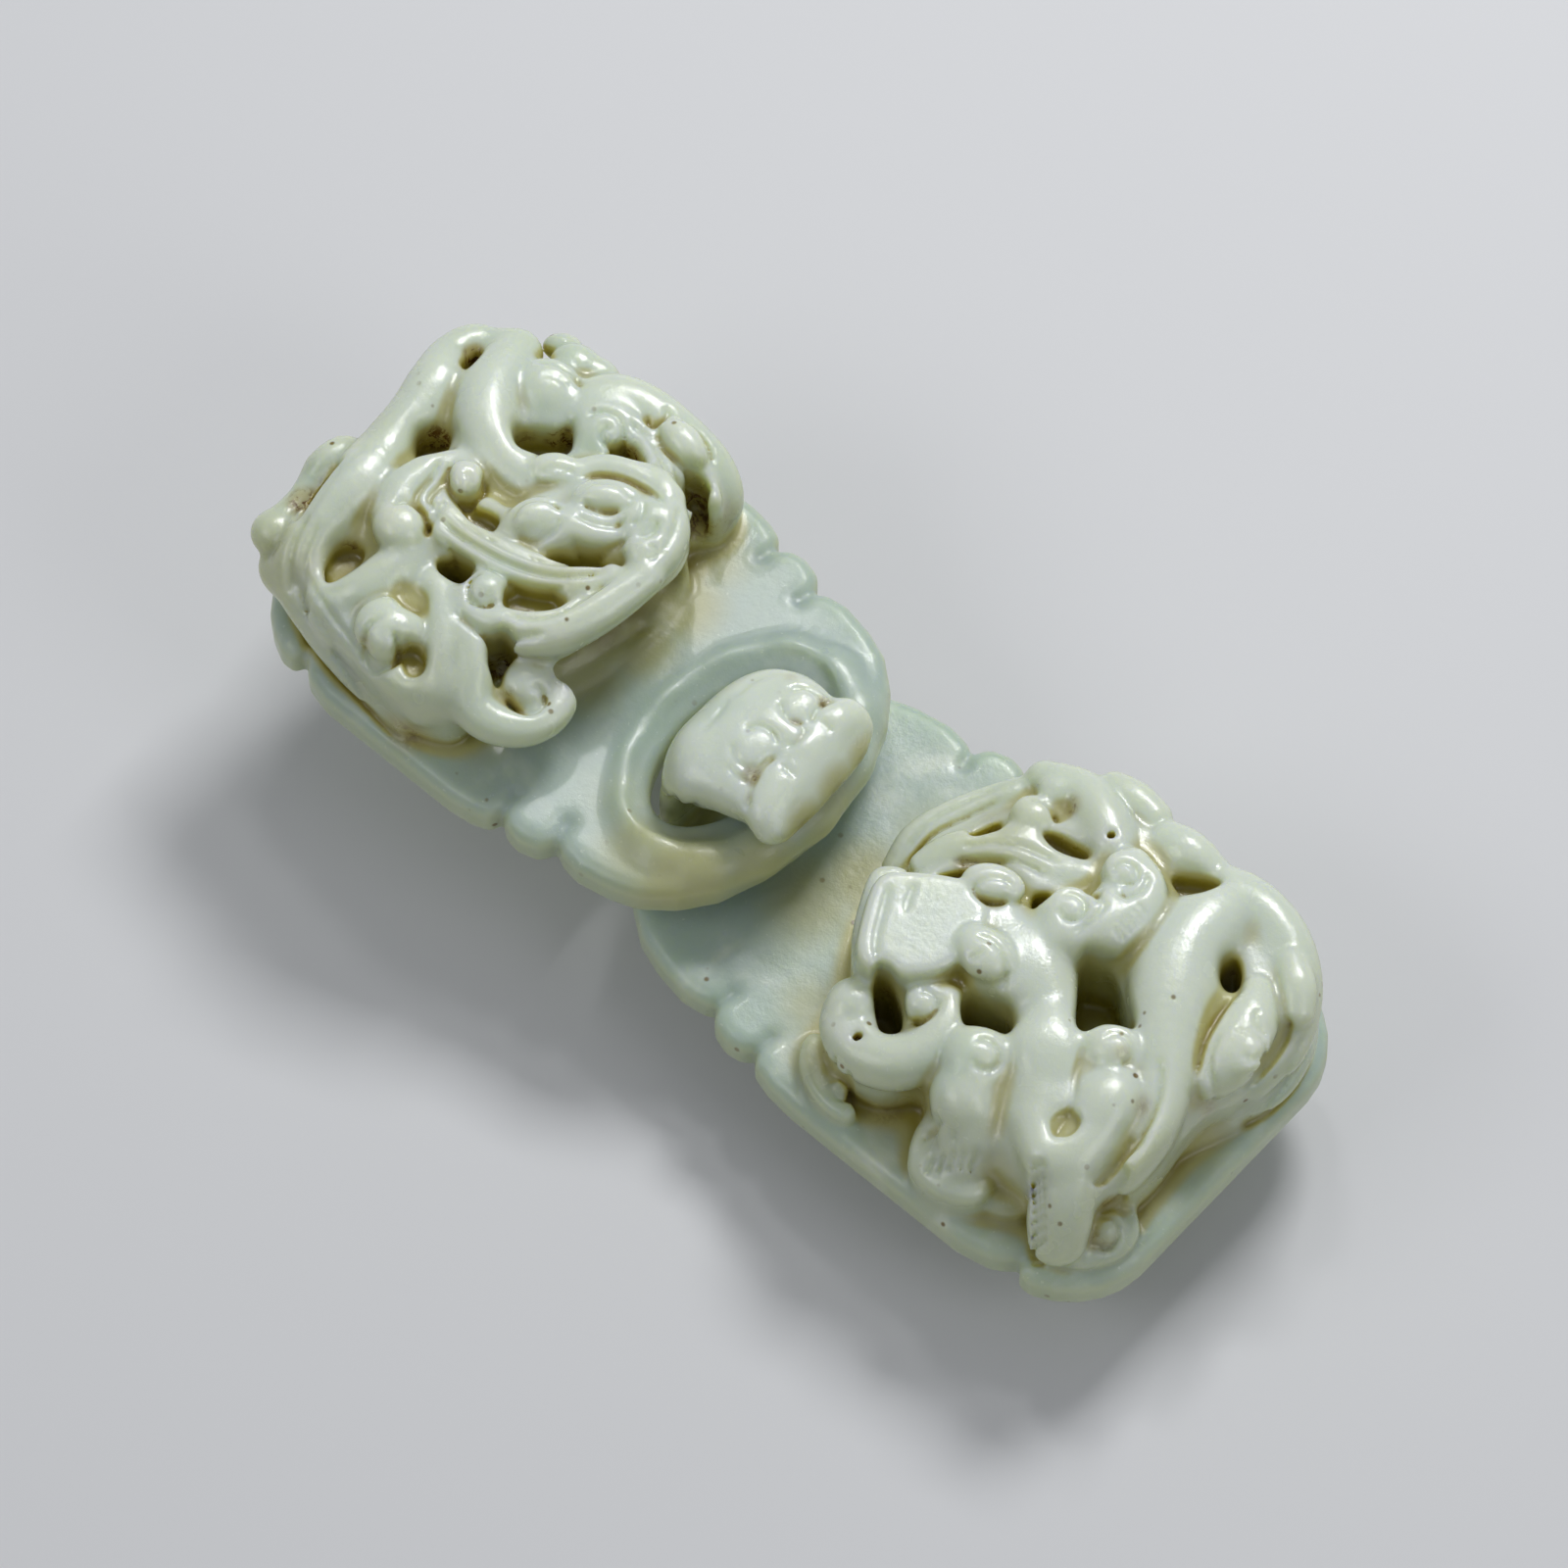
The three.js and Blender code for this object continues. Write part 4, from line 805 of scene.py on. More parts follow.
LOOP_PAINTED_SHADE = [
    # Place, radius in mm, strength of the painted shade, a warm olive for shadow and for light through thin
    # stone. Over 1 it is dark.
    ((-30, 12, 3), 4.5, 1.5), ((-30, 7.5, 3), 5, 1.6), ((-30.5, 3, 3), 5, 1.6), ((-32, -1, 3), 4.5, 1.5),
    ((-25.6, 10, 0), 5, 0.9), ((-26.4, 4, 0), 5, 1.0), ((-28, -2.4, 0), 5, 0.9), ((-26, 16, 0), 4, 0.6),
    ((-36, -17.5, 1), 4, 0.8), ((-42, -17, 1), 4, 0.5), ((-31, -14.5, 1), 4, 0.6), ((-32, 19, 3), 3.5, 1.2),
    ((-52.5, 12.5, 9), 4, 0.4), ((-36, 3, 11), 6, 0.35), ((-46, 3, 11), 6, 0.3), ((-38, -13, 6), 6, 0.4),
    ((-53, -6, 9), 6, 0.3), ((-59, -13, 6), 6, 0.5), ((-61, 2, 7), 5, 0.4),
    ((-3, -13.5, 0.6), 7, 0.8), ((2.5, -8, 0.6), 6, 0.7), ((4, 2, 0.4), 6, 0.5), ((-9, -14, 0.6), 5, 0.6),
    ((-14, -11, 0.4), 5, 0.3),
]
loop_carving = carved_object("loop_jade", loop, marked(on_loop, LOOP_STAINS), marked(on_loop, LOOP_PAINTED_SHADE))
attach(loop_carving, "loop_half")
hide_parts("loop_plaque")


def jade(name, plate_top, plate_colour, carved_colour):
    """Polished nephrite: cloudy pale green with white veils, fine glints, brown specks, and brown stain in
    the creases, with painted light on the high tops and painted olive shade on slopes, in shadows and in the
    hollows."""
    material = bpy.data.materials.new(name)
    material.use_nodes = True
    nodes, links = material.node_tree.nodes, material.node_tree.links
    surface = nodes["Principled BSDF"]
    spots = nodes.new("ShaderNodeTexCoord").outputs["Object"]

    def noise(scale, detail, rough=0.5, distortion=0.0):
        node = nodes.new("ShaderNodeTexNoise")
        node.inputs["Scale"].default_value = scale
        node.inputs["Detail"].default_value = detail
        node.inputs["Roughness"].default_value = rough
        node.inputs["Distortion"].default_value = distortion
        links.new(spots, node.inputs["Vector"])
        return node.outputs["Fac"]

    def ranged(value, low, high, to_low=0.0, to_high=1.0):
        node = nodes.new("ShaderNodeMapRange")
        node.interpolation_type = "SMOOTHSTEP"
        limits = {"From Min": low, "From Max": high, "To Min": to_low, "To Max": to_high}
        for socket, number in limits.items():
            node.inputs[socket].default_value = number
        links.new(value, node.inputs["Value"])
        return node.outputs["Result"]

    def product(a, b):
        node = nodes.new("ShaderNodeMath")
        node.operation = "MULTIPLY"
        links.new(a, node.inputs[0])
        links.new(b, node.inputs[1])
        return node.outputs[0]

    def mixed(share, a, b):
        node = nodes.new("ShaderNodeMix")
        node.data_type = "RGBA"
        for socket, colour in (("A", a), ("B", b)):
            target = [i for i in node.inputs if i.name == socket and i.type == "RGBA"][0]
            if isinstance(colour, tuple):
                target.default_value = (*colour, 1)
            else:
                links.new(colour, target)
        links.new(share, node.inputs["Factor"])
        return [o for o in node.outputs if o.type == "RGBA"][0]

    def attribute(label):
        node = nodes.new("ShaderNodeAttribute")
        node.attribute_name = label
        return node.outputs["Fac"]

    # The plate is bluer and the carving paler. Yellow clouds, white veils and glints run through both.
    split = nodes.new("ShaderNodeSeparateXYZ")
    links.new(spots, split.inputs[0])
    height = split.outputs["Z"]
    carved = ranged(height, (plate_top + 0.3) * MM, (plate_top + 6.0) * MM)
    body = mixed(carved, plate_colour, carved_colour)
    body = mixed(ranged(noise(24, 3, 0.55, 0.5), 0.42, 0.66, 0.0, 0.38), body, (0.59, 0.63, 0.44))
    # Painted light: the highest parts of the carving are mixed toward a paler colour, as lit tops.
    painted_top_light = ranged(height, (plate_top + 8.0) * MM, (plate_top + 14.0) * MM, 0.0, 0.6)
    body = mixed(painted_top_light, body, (0.74, 0.81, 0.73))
    veil = ranged(noise(90, 4, 0.6, 0.6), 0.5, 0.72)
    body = mixed(product(veil, ranged(noise(35, 2), 0.35, 0.7, 0.15, 0.8)), body, (0.78, 0.83, 0.74))
    body = mixed(ranged(noise(55, 3, 0.5, 0.4), 0.5, 0.72, 0.0, 0.5), body, (0.44, 0.57, 0.47))
    glint = ranged(noise(1500, 2, 0.7), 0.66, 0.74, 0.0, 0.35)
    body = mixed(glint, body, (0.85, 0.9, 0.82))

    # Painted shade: steep slopes, the places listed for shadow and thin stone, and the hollows turn a warm
    # olive.
    slope_shade_normal = nodes.new("ShaderNodeSeparateXYZ")
    links.new(nodes.new("ShaderNodeTexCoord").outputs["Normal"], slope_shade_normal.inputs[0])
    body = mixed(ranged(slope_shade_normal.outputs["Z"], 0.85, 0.15, 0.0, 0.65), body, (0.47, 0.52, 0.31))
    # Painted shade from the listed places: warm olive for shadow and light through thin stone, dark olive
    # where strong.
    painted_shade = attribute("painted_shade")
    body = mixed(ranged(painted_shade, 0.0, 0.9, 0.0, 0.8), body, (0.47, 0.46, 0.20))
    body = mixed(ranged(painted_shade, 0.8, 1.6, 0.0, 0.95), body, (0.24, 0.21, 0.035))
    # Painted shade in the hollows: olive, and a dark olive deep in the pits.
    hollow_shade = attribute("hollow_shade")
    body = mixed(ranged(hollow_shade, 0.02, 0.40, 0.0, 0.88), body, (0.52, 0.50, 0.20))
    body = mixed(ranged(hollow_shade, 0.36, 0.85, 0.0, 0.95), body, (0.37, 0.32, 0.05))

    # Old dirt in the creases, patchy brown stain in the pits, and dark freckles.
    patches = ranged(noise(260, 4, 0.65), 0.40, 0.60, 0.3, 0.95)
    grime = product(ranged(attribute("crease"), 0.1, 0.7), patches)
    body = mixed(grime, body, (0.43, 0.37, 0.13))
    patchy = ranged(noise(800, 4, 0.75, 0.6), 0.47, 0.58)
    stain = attribute("stain")
    body = mixed(ranged(stain, 0.0, 0.7, 0.0, 0.6), body, (0.40, 0.33, 0.09))
    body = mixed(product(ranged(stain, 0.15, 0.9), patchy), body, (0.13, 0.055, 0.008))
    speck = nodes.new("ShaderNodeTexVoronoi")
    speck.inputs["Scale"].default_value = 330
    links.new(spots, speck.inputs["Vector"])
    freckle = product(ranged(speck.outputs["Distance"], 0.13, 0.06), ranged(noise(70, 2), 0.5, 0.62))
    body = mixed(freckle, body, (0.20, 0.15, 0.05))
    links.new(body, surface.inputs["Base Color"])

    # The carving has a wet gloss and the plate is a little more satin.
    rough = nodes.new("ShaderNodeMath")
    rough.operation = "ADD"
    links.new(ranged(noise(240, 3), 0.3, 0.7, 0.13, 0.29), rough.inputs[0])
    satin = ranged(height, (plate_top - 0.5) * MM, (plate_top + 4.0) * MM, 0.16, 0.0)
    links.new(satin, rough.inputs[1])
    links.new(rough.outputs[0], surface.inputs["Roughness"])
    surface.inputs["IOR"].default_value = 1.61
    surface.inputs["Subsurface Weight"].default_value = 0.85
    surface.inputs["Subsurface Radius"].default_value = (1.2, 1.2, 0.5)
    surface.inputs["Subsurface Scale"].default_value = 0.0035
    surface.inputs["Coat Weight"].default_value = 0.14
    surface.inputs["Coat Roughness"].default_value = 0.06
    bump = nodes.new("ShaderNodeBump")
    bump.inputs["Strength"].default_value = 0.6
    bump.inputs["Distance"].default_value = 0.00018
    links.new(noise(480, 8, 0.66), bump.inputs["Height"])
    links.new(bump.outputs["Normal"], surface.inputs["Normal"])
    return material


LOOP_PLATE_COLOUR = (0.43, 0.53, 0.475)
LOOP_CARVED_COLOUR = (0.625, 0.705, 0.60)
loop_carving.data.materials.append(jade("jade_loop", LOOP_PLATE_TOP, LOOP_PLATE_COLOUR, LOOP_CARVED_COLOUR))

# Hook plaque
# The second slab, cut from the same pale stone: plate, openwork dragons, back button, and at its
# tip a neck that rises through the loop and turns back as a dragon's head over the end bar.
HOOK_FAR_X = 59.155
HOOK_PLATE_LENGTH = 71.0
HOOK_END_LENGTH = 20.0
HOOK_PLATE_BOTTOM = 9.0
HOOK_PLATE_TOP = HOOK_PLATE_BOTTOM + PLATE_THICKNESS
HOOK_STEM_SETBACK = 24.0
HOOK_SIGHT_LEVEL = HOOK_PLATE_TOP - 0.5


def on_hook(x, y, rise):
    """The place of a form of the hook plaque, from where it is seen and its rise over the plate."""
    return seen_at(x, y, HOOK_SIGHT_LEVEL, HOOK_PLATE_TOP + rise)


HOOK_BLOCK = ([-14.0, -25.5, -1.0], [61.5, 25.5, 33.5])
hook = Stone(*HOOK_BLOCK)
hook_outline = plate_outline(HOOK_PLATE_LENGTH, HOOK_END_LENGTH, HOOK_FAR_X, -1)
slab(hook, hook_outline, HOOK_PLATE_BOTTOM, HOOK_PLATE_TOP, EDGE_ROUNDING)
cusp_creases(hook, HOOK_PLATE_LENGTH, HOOK_END_LENGTH, HOOK_FAR_X, -1, HOOK_PLATE_TOP)
round_button(hook, HOOK_FAR_X - HOOK_STEM_SETBACK, HOOK_PLATE_BOTTOM)

HOOK_MASSES = [
    # Columns as in the loop plaque's tables, here and in the next ones.
    # The whole group, and the main dragon's body over it.
    ([(13, 19), (15, 22.5), (19, 24.6), (23, 25.9), (28, 26.1), (33, 26.3), (38, 26), (43, 25.6),
      (48, 23.5), (51.6, 19.5), (52.3, 14), (52, 9), (50.6, 5), (50.6, 0), (50.3, -5), (48.5, -10),
      (46, -12.5), (41.5, -13.2), (38, -13.6), (34, -13.6), (29, -12.5), (26.5, -11.5), (24, -14), (20, -15),
      (16.5, -13.5), (15.6, -9), (17, -6), (14.5, -6), (12.3, -4), (10.8, 0), (10.3, 5), (11, 11)],
     8.8, 3.6),
    ([(18, 20), (20, 25), (24, 26), (30, 26.5), (35, 26), (41, 25.5), (46, 23.5), (50, 19), (50.5, 12),
      (49, 7), (46, 4), (42, 5), (38.5, 8.5), (34, 11), (31, 9.8), (26, 8.8), (22, 10), (17, 12), (14, 16)],
     10.6, 2.2),
    # The strands at the upper left.
    ([(9.6, 6), (9.2, 10), (10.4, 14), (12.4, 18), (15, 21), (18, 19.5), (23, 18), (25, 14), (20, 10.5),
      (15, 8.4), (12, 5.4)], 7.2, 2.0),
    # The square head block.
    ([(8.8, 2.4), (11.5, 5.6), (16, 8.2), (19, 7.5), (21, 4.6), (21.3, 0), (19.4, -3.4), (16, -5.8),
      (13.3, -5.8), (11.1, -3)], 13.2, 1.0),
    # The jaw layer under the block.
    ([(7.9, 3.0), (9.2, -0.8), (11.6, -4.8), (14.6, -7.2), (17.6, -7), (15.5, -3), (12, 2), (10.6, 5)],
     9.8, 0.9),
    # The curled paw, a broad smooth comma.
    ([(24.9, 18.4), (25.3, 20.4), (27.5, 21.7), (30.6, 20.9), (32.8, 18.1), (33, 15), (32, 11.9),
      (29.5, 9.3), (26.8, 8.1), (24.5, 9.3), (23.4, 11.3), (24.1, 13.8), (25.6, 15.3), (25.9, 17)],
     13.3, 2.2),
    # Neck and shoulder, the thick body, and the haunches with the lower left curl.
    ([(19, 8.8), (23, 10), (27, 9.2), (30.6, 7.6), (33.6, 4.8), (36, 2.6), (38, 4.8), (41, 6), (44.5, 4.5),
      (46.3, 0), (46.6, -5), (45, -10), (41.5, -12), (37, -9), (35.5, -6), (31.2, -3.2), (31, 0.3),
      (28, 0.6), (24.6, -0.6), (21, 1)], 12.0, 2.6),
    ([(35.6, 22.5), (33.4, 20.3), (34.8, 16.5), (35.2, 13.2), (37.2, 9.8), (40.8, 7), (44.4, 4.2), (47, 0),
      (48.2, -5), (49.6, -4.6), (49.6, 0.4), (48.2, 4), (46, 7.4), (43.6, 12.2), (43, 16), (41, 18.6),
      (40, 21), (38.6, 23)], 12.4, 2.6),
    ([(21, -3.5), (25.5, -3.8), (28.5, -4.2), (32.5, -3.8), (35.5, -7), (35.2, -11.5), (31.5, -13.3),
      (27.8, -10.5), (25, -9.5), (23.5, -12.5), (19, -12.5), (17.5, -10), (21.8, -10.6), (22.8, -7)],
     9.8, 1.8),
    # The low slopes under the curl and between the legs.
    ([(15.2, -9), (15.6, -13), (18, -15.4), (21.5, -16.4), (25, -15.6), (27.5, -13), (30, -12), (36, -13),
      (41, -13.5), (44, -12), (42, -7), (34, -5), (24, -5)], 5.6, 2.6),
    ([(29.4, -13.6), (33, -12.5), (38, -12), (42.5, -12.5), (45, -15.5), (43, -18), (39, -18.5),
      (34, -17.2)], 2.6, 1.6),
    ([(34.2, -8.2), (37, -7.4), (40, -9.4), (42.6, -12.6), (41.4, -14.2), (38.6, -12.6), (36, -10.6)],
     5.8, 2.0),
    ([(46.5, -12), (49.5, -7), (52, -1), (54.4, 5.5), (52, 7), (49.5, 2), (47, -4), (45, -9)],
     1.6, 1.2),
    # The broad flat foot of the lower leg, and the low curl on the plate.
    ([(32.8, -19.2), (31.9, -17.2), (34.2, -14.8), (37.6, -13.4), (40.4, -15.6), (40.6, -18.4),
      (38.2, -20.2), (35.2, -20.7)], 4.4, 1.2),
    ([(15.6, -15.6), (17.2, -15), (19.6, -17.2), (23, -18.4), (25, -19.2), (24.6, -20.6), (21.4, -20.9),
      (18, -19.6), (16, -17.6)], 2.4, 0.9),
]
HOOK_LIMBS = [
    # The arch along the upper rim, down to the far corner.
    ([(36.5, 24.8, 8.6, 2.4), (40, 25.2, 8.8, 2.7), (44.5, 24.2, 8.6, 2.7), (48.4, 21.6, 8, 2.6),
      (51.2, 17.8, 7, 2.5), (52.6, 14, 5.6, 2.3), (52.8, 10, 4, 1.9)], 1.4, 1),
    # The thick body, from the upper rim down to the tail end.
    ([(38, 23.5, 8.8, 3.4), (37.8, 20, 9.2, 4.3), (38.2, 15.8, 9.4, 4.6), (40.2, 11.6, 9.4, 4.6),
      (43, 7.4, 9.4, 4.0), (45.8, 3.4, 9.2, 3.3), (47.9, -0.6, 8.6, 2.8), (49.1, -4.8, 7.6, 2.3),
      (48.9, -8.6, 6.2, 1.9), (47.6, -11.5, 5, 1.5)], 1.1, 1),
    # The low striated band along the far edge.
    ([(51, 19.5, 3, 1.7), (53.2, 16, 2.4, 1.9), (54.3, 12, 1.8, 1.9), (54.2, 8.2, 1.2, 1.7),
      (53.2, 5.4, 0.8, 1.3)], 0.8, 1),
    # The hind leg, a paddle that widens to its flat foot.
    ([(42.6, -2.5, 9.8, 3.4), (43.8, -6, 9.5, 3.4), (45.0, -9.4, 8.6, 3.3), (46.5, -12.2, 7.0, 3.3),
      (48, -14.6, 5.0, 3.3), (49.3, -16.4, 3.2, 3.0)], 1.1, 0.85),
    # The outline of the foot, curled up beside the leg.
    ([(50, -17.6, 1.1, 1.5), (52.4, -16.4, 0.9, 1.4), (54, -14, 0.9, 1.4), (54, -11.6, 1.1, 1.4),
      (52.4, -10, 1.2, 1.3)], 0.7, 1),
    # The ridge of neck and shoulder.
    ([(22.6, 6.4, 9.0, 2.6), (26.4, 5.7, 8.6, 3.2), (30, 3.8, 8.0, 3.8), (33, 0.9, 7.4, 4.4),
      (35.8, -2.8, 7.2, 4.9), (38.2, -6.6, 6.8, 4.8), (40.2, -9.8, 6.2, 3.8)], 2.2, 1),
    ([(21.6, 6.0, 10.2, 2.0), (24.6, 2.2, 10.4, 2.2), (27.4, 1.2, 10.4, 1.9)], 1.6, 1),
    # The lower leg.
    ([(30.6, -7, 9.4, 3.4), (32.1, -10.8, 8.4, 3.3), (34.8, -13.2, 6.4, 3.2), (36.4, -15.4, 4.4, 3.2),
      (36.2, -17.6, 2.6, 2.9)], 1.2, 1),
    ([(33.6, -13.4, 4.6, 2.6), (33.2, -16.2, 3.0, 2.4), (34.6, -18.8, 2.2, 2.2)], 1.4, 1),
    # The curl loop at the lower left.
    ([(22.4, -4.6, 9.6, 1.7), (24.3, -4.2, 9.5, 2.1), (25.7, -6.6, 9.3, 2.4), (26, -9.8, 8.6, 2.7),
      (24.2, -12.8, 7.6, 2.9), (20.8, -14, 6.9, 2.8), (17.8, -12.8, 6.7, 2.6), (16.6, -10.4, 7.0, 2.4)],
     0.8, 1),
    # The two arched strands at the upper left, wide and flat.
    ([(9.8, 4.2, 3.2, 1.6), (9.2, 8.0, 4.4, 1.9), (10.2, 12, 5.2, 2.0), (11.8, 15.6, 5.8, 2.0),
      (13.4, 18.8, 6.4, 1.9)], 0.8, 0.85),
    ([(11.2, 6.4, 7.0, 1.2), (12.6, 9.6, 7.8, 1.8), (15, 12, 8.4, 2.1), (18.4, 13.9, 8.8, 2.2),
      (21.8, 14.9, 9.2, 2.0), (24.4, 16.2, 9.8, 1.6)], 0.7, 0.8),
    # The body at the upper left, and the knobs on the rim.
    ([(14.4, 22, 7.2, 2.1), (18.2, 23.2, 8.2, 2.6), (21.8, 22.4, 9, 2.9), (24.4, 20.8, 9.6, 2.5)], 1.0, 1),
    ([(20.4, 25.9, 8.4, 1.9), (22.8, 26.2, 8.8, 2.2), (25.6, 26.0, 8.8, 2.0)], 0.6, 1),
    ([(28.8, 25.0, 9.0, 2.3), (31, 25.2, 9.4, 2.5), (33.8, 25.2, 9.0, 2.0)], 0.6, 1),
    # The outer lobe of the paw.
    ([(27.6, 20.4, 11.6, 1.9), (30.4, 19.2, 11.8, 2.1), (31.4, 15.8, 11.8, 2.2), (30.4, 12.2, 11.6, 2.2),
      (27.6, 10.2, 11.4, 2.1), (25.2, 11.2, 11.4, 1.8)], 1.4, 1),
    # The small second head and the knob over it.
    ([(46.6, 17.2, 9.6, 2.2), (48.2, 14.2, 10.0, 3.0), (49.0, 10.4, 9.8, 3.1), (49.2, 7.4, 9.0, 2.4)],
     0.5, 1),
    ([(47.0, 22.5, 9.8, 1.8), (49.0, 20.9, 10.0, 2.0), (50.9, 18.8, 9.4, 1.7)], 0.45, 1),
]
HOOK_KNOBS = [
    # Eye ovals of the main head and the haunches.
    ((18.4, 9.3, 12.3), (3.3, 2.2, 1.8), 25, 0.4),
    ((22.9, 2.7, 12.7), (3.4, 2.6, 2.0), -10, 0.5),
    ((39.8, 3, 11.2), (3.2, 3.0, 2.6), 0, 0.8),
    ((34.6, -0.6, 11.2), (3.4, 3.2, 1.8), 0, 1.8), ((26.6, 4.8, 11.2), (3.6, 2.8, 1.6), -20, 1.8),
    ((43.2, -1.5, 10.8), (3.0, 3.8, 2.6), 20, 1.0),
    ((30.2, -6.9, 9.8), (3.7, 3.6, 3.1), 0, 0.7),
    ((32.2, -11.2, 8.6), (3.2, 2.8, 2.8), 0, 1.0),
    # Balls of the curl loop and of the upper left strands.
    ((22.1, -5.6, 9.9), (2.2, 2.2, 1.8), 0, 0.5),
    ((17.0, -10.6, 7.6), (2.7, 2.9, 2.6), 0, 0.5),
    ((16.4, 17.9, 9.0), (2.5, 2.4, 2.0), 0, 0.5),
    ((16.4, 21.8, 8.6), (2.3, 1.9, 1.8), 20, 0.7),
    # Domes of the curled paw.
    ((27.2, 19.4, 12.5), (2.1, 2.1, 1.7), 0, 0.5),
    ((26.0, 12.4, 12.6), (2.4, 2.4, 1.5), 0, 0.5),
    ((29.0, 14.2, 13.0), (2.2, 2.8, 1.5), 10, 0.9),
    # The brow of the small head, the paws on the plate.
    ((50.2, 12, 11.4), (1.7, 2.7, 1.5), 10, 0.6),
    ((52.2, -12.6, 2.0), (2.3, 2.1, 2.1), 0, 0.6),
    ((22, -18.4, 1.6), (1.4, 1.3, 1.4), 0, 0.4),
]
carve_forms(hook, on_hook, HOOK_PLATE_TOP, HOOK_MASSES, HOOK_LIMBS, HOOK_KNOBS)

# The neck and the dragon's head. The neck is a broad bar that follows the far rim of the opening
# with room to tilt in, and the head lies across it. Each station is a place across and a radius.
HEAD_BOTTOM = 24.0
HEAD_TOP = 29.2
NECK_GAP = 1.45
NECK_BLEND = 0.7
NECK_ROOT = 2.5
NECK_FOOT_LEAN = 1.3
NECK_TOP_LEAN = 0.9
NECK_HEAD_LEAN = 2.9
NECK_HEAD_SWELL = 0.4
NECK_STATIONS = [(-7.4, 1.3), (-5.6, 1.7), (-3.6, 2.0), (-1.2, 2.1), (1.2, 2.1), (3.4, 1.8), (5.4, 1.3)]
for y, r in NECK_STATIONS:
    rim_x = OPENING_X - OPENING_LENGTH / 2 * math.sqrt(1 - (2 * y / OPENING_WIDTH) ** 2)
    x = rim_x + NECK_GAP + r
    limb(hook, [(x + NECK_FOOT_LEAN, y, HOOK_PLATE_TOP - NECK_ROOT, r), (x, y, HOOK_PLATE_TOP + 0.5, r),
                (x, y, LOOP_PLATE_TOP - 1.5, r), (x + NECK_TOP_LEAN, y, HEAD_BOTTOM, r),
                (x + NECK_HEAD_LEAN, y, HEAD_BOTTOM + NECK_ROOT, r + NECK_HEAD_SWELL)], NECK_BLEND)
HEAD_ROUNDING = 2.5
HEAD_BLEND = 1.2
HEAD_OUTLINE = [(-10.2, -4.4), (-10.4, 0.2), (-9.8, 4.3), (-8, 7.1), (-4.9, 8.7), (-2, 8.9), (0.6, 8.2),
                (2.0, 5.6), (2.2, 0), (2.4, -5), (1.4, -7.0), (-2.1, -8.2), (-5, -8.4), (-8.4, -6.8)]
head_plan = smooth_rows(HEAD_OUTLINE, LIMB_STEPS, closed=True)
slab(hook, head_plan, HEAD_BOTTOM, HEAD_TOP, HEAD_ROUNDING, HEAD_BLEND)
HEAD_KNOBS = [
    # Places in the frame itself. The crown, the lobe at the back, and the two eyes under their brows.
    ((-4.2, 0.4, 27.0), (5.4, 8.0, 3.3), 0, 1.6),
    ((-6.5, -4.6, 25.0), (3.9, 4.5, 3.6), 0, 1.8),
    ((-2.4, 4.8, 28.8), (2.2, 2.6, 1.2), 0, 1.8),
    ((-2.7, -1.7, 28.8), (2.2, 2.7, 1.2), 0, 1.8),
    ((-2.3, 4.8, 29.4), (1.45, 1.8, 0.85), 0, 0.7),
    ((-2.6, -1.7, 29.4), (1.45, 1.9, 0.85), 0, 0.7),
]
for place, radii, turn, blend in HEAD_KNOBS:
    knob(hook, place, radii, turn, blend)
HEAD_LIMBS = [
    # The snout bar with its swellings, the lip layer in front of it, the bridge of the nose.
    ([(1.2, 8.0, 27.8, 1.8), (1.1, 6.2, 28.2, 2.1), (1.5, 3.2, 28.0, 2.0), (1.7, 0, 28.1, 2.0),
      (2.0, -3, 28.0, 2.1), (2.5, -5.6, 27.5, 2.0), (3.6, -6.4, 26.8, 1.6)], 1.4),
    ([(2.6, 8.3, 25.9, 1.5), (3.4, 6, 26.0, 1.7), (3.7, 2, 26.1, 1.8), (3.9, -2, 26.1, 1.8),
      (3.9, -5.2, 26.0, 1.7)], 1.4),
    ([(2.0, 8.2, 27.0, 1.4), (2.6, 4.5, 27.2, 1.6), (2.9, 0, 27.2, 1.7), (3.2, -4.4, 26.9, 1.6)], 1.4),
    ([(-3.6, 1.7, 28.9, 1.3), (-1.4, 1.7, 29.0, 1.3), (0.6, 1.9, 28.8, 1.4)], 1.6),
]
for rows, blend in HEAD_LIMBS:
    limb(hook, rows, blend)
fill_grooves(hook, HOOK_PLATE_TOP + GROOVE_FLOOR)

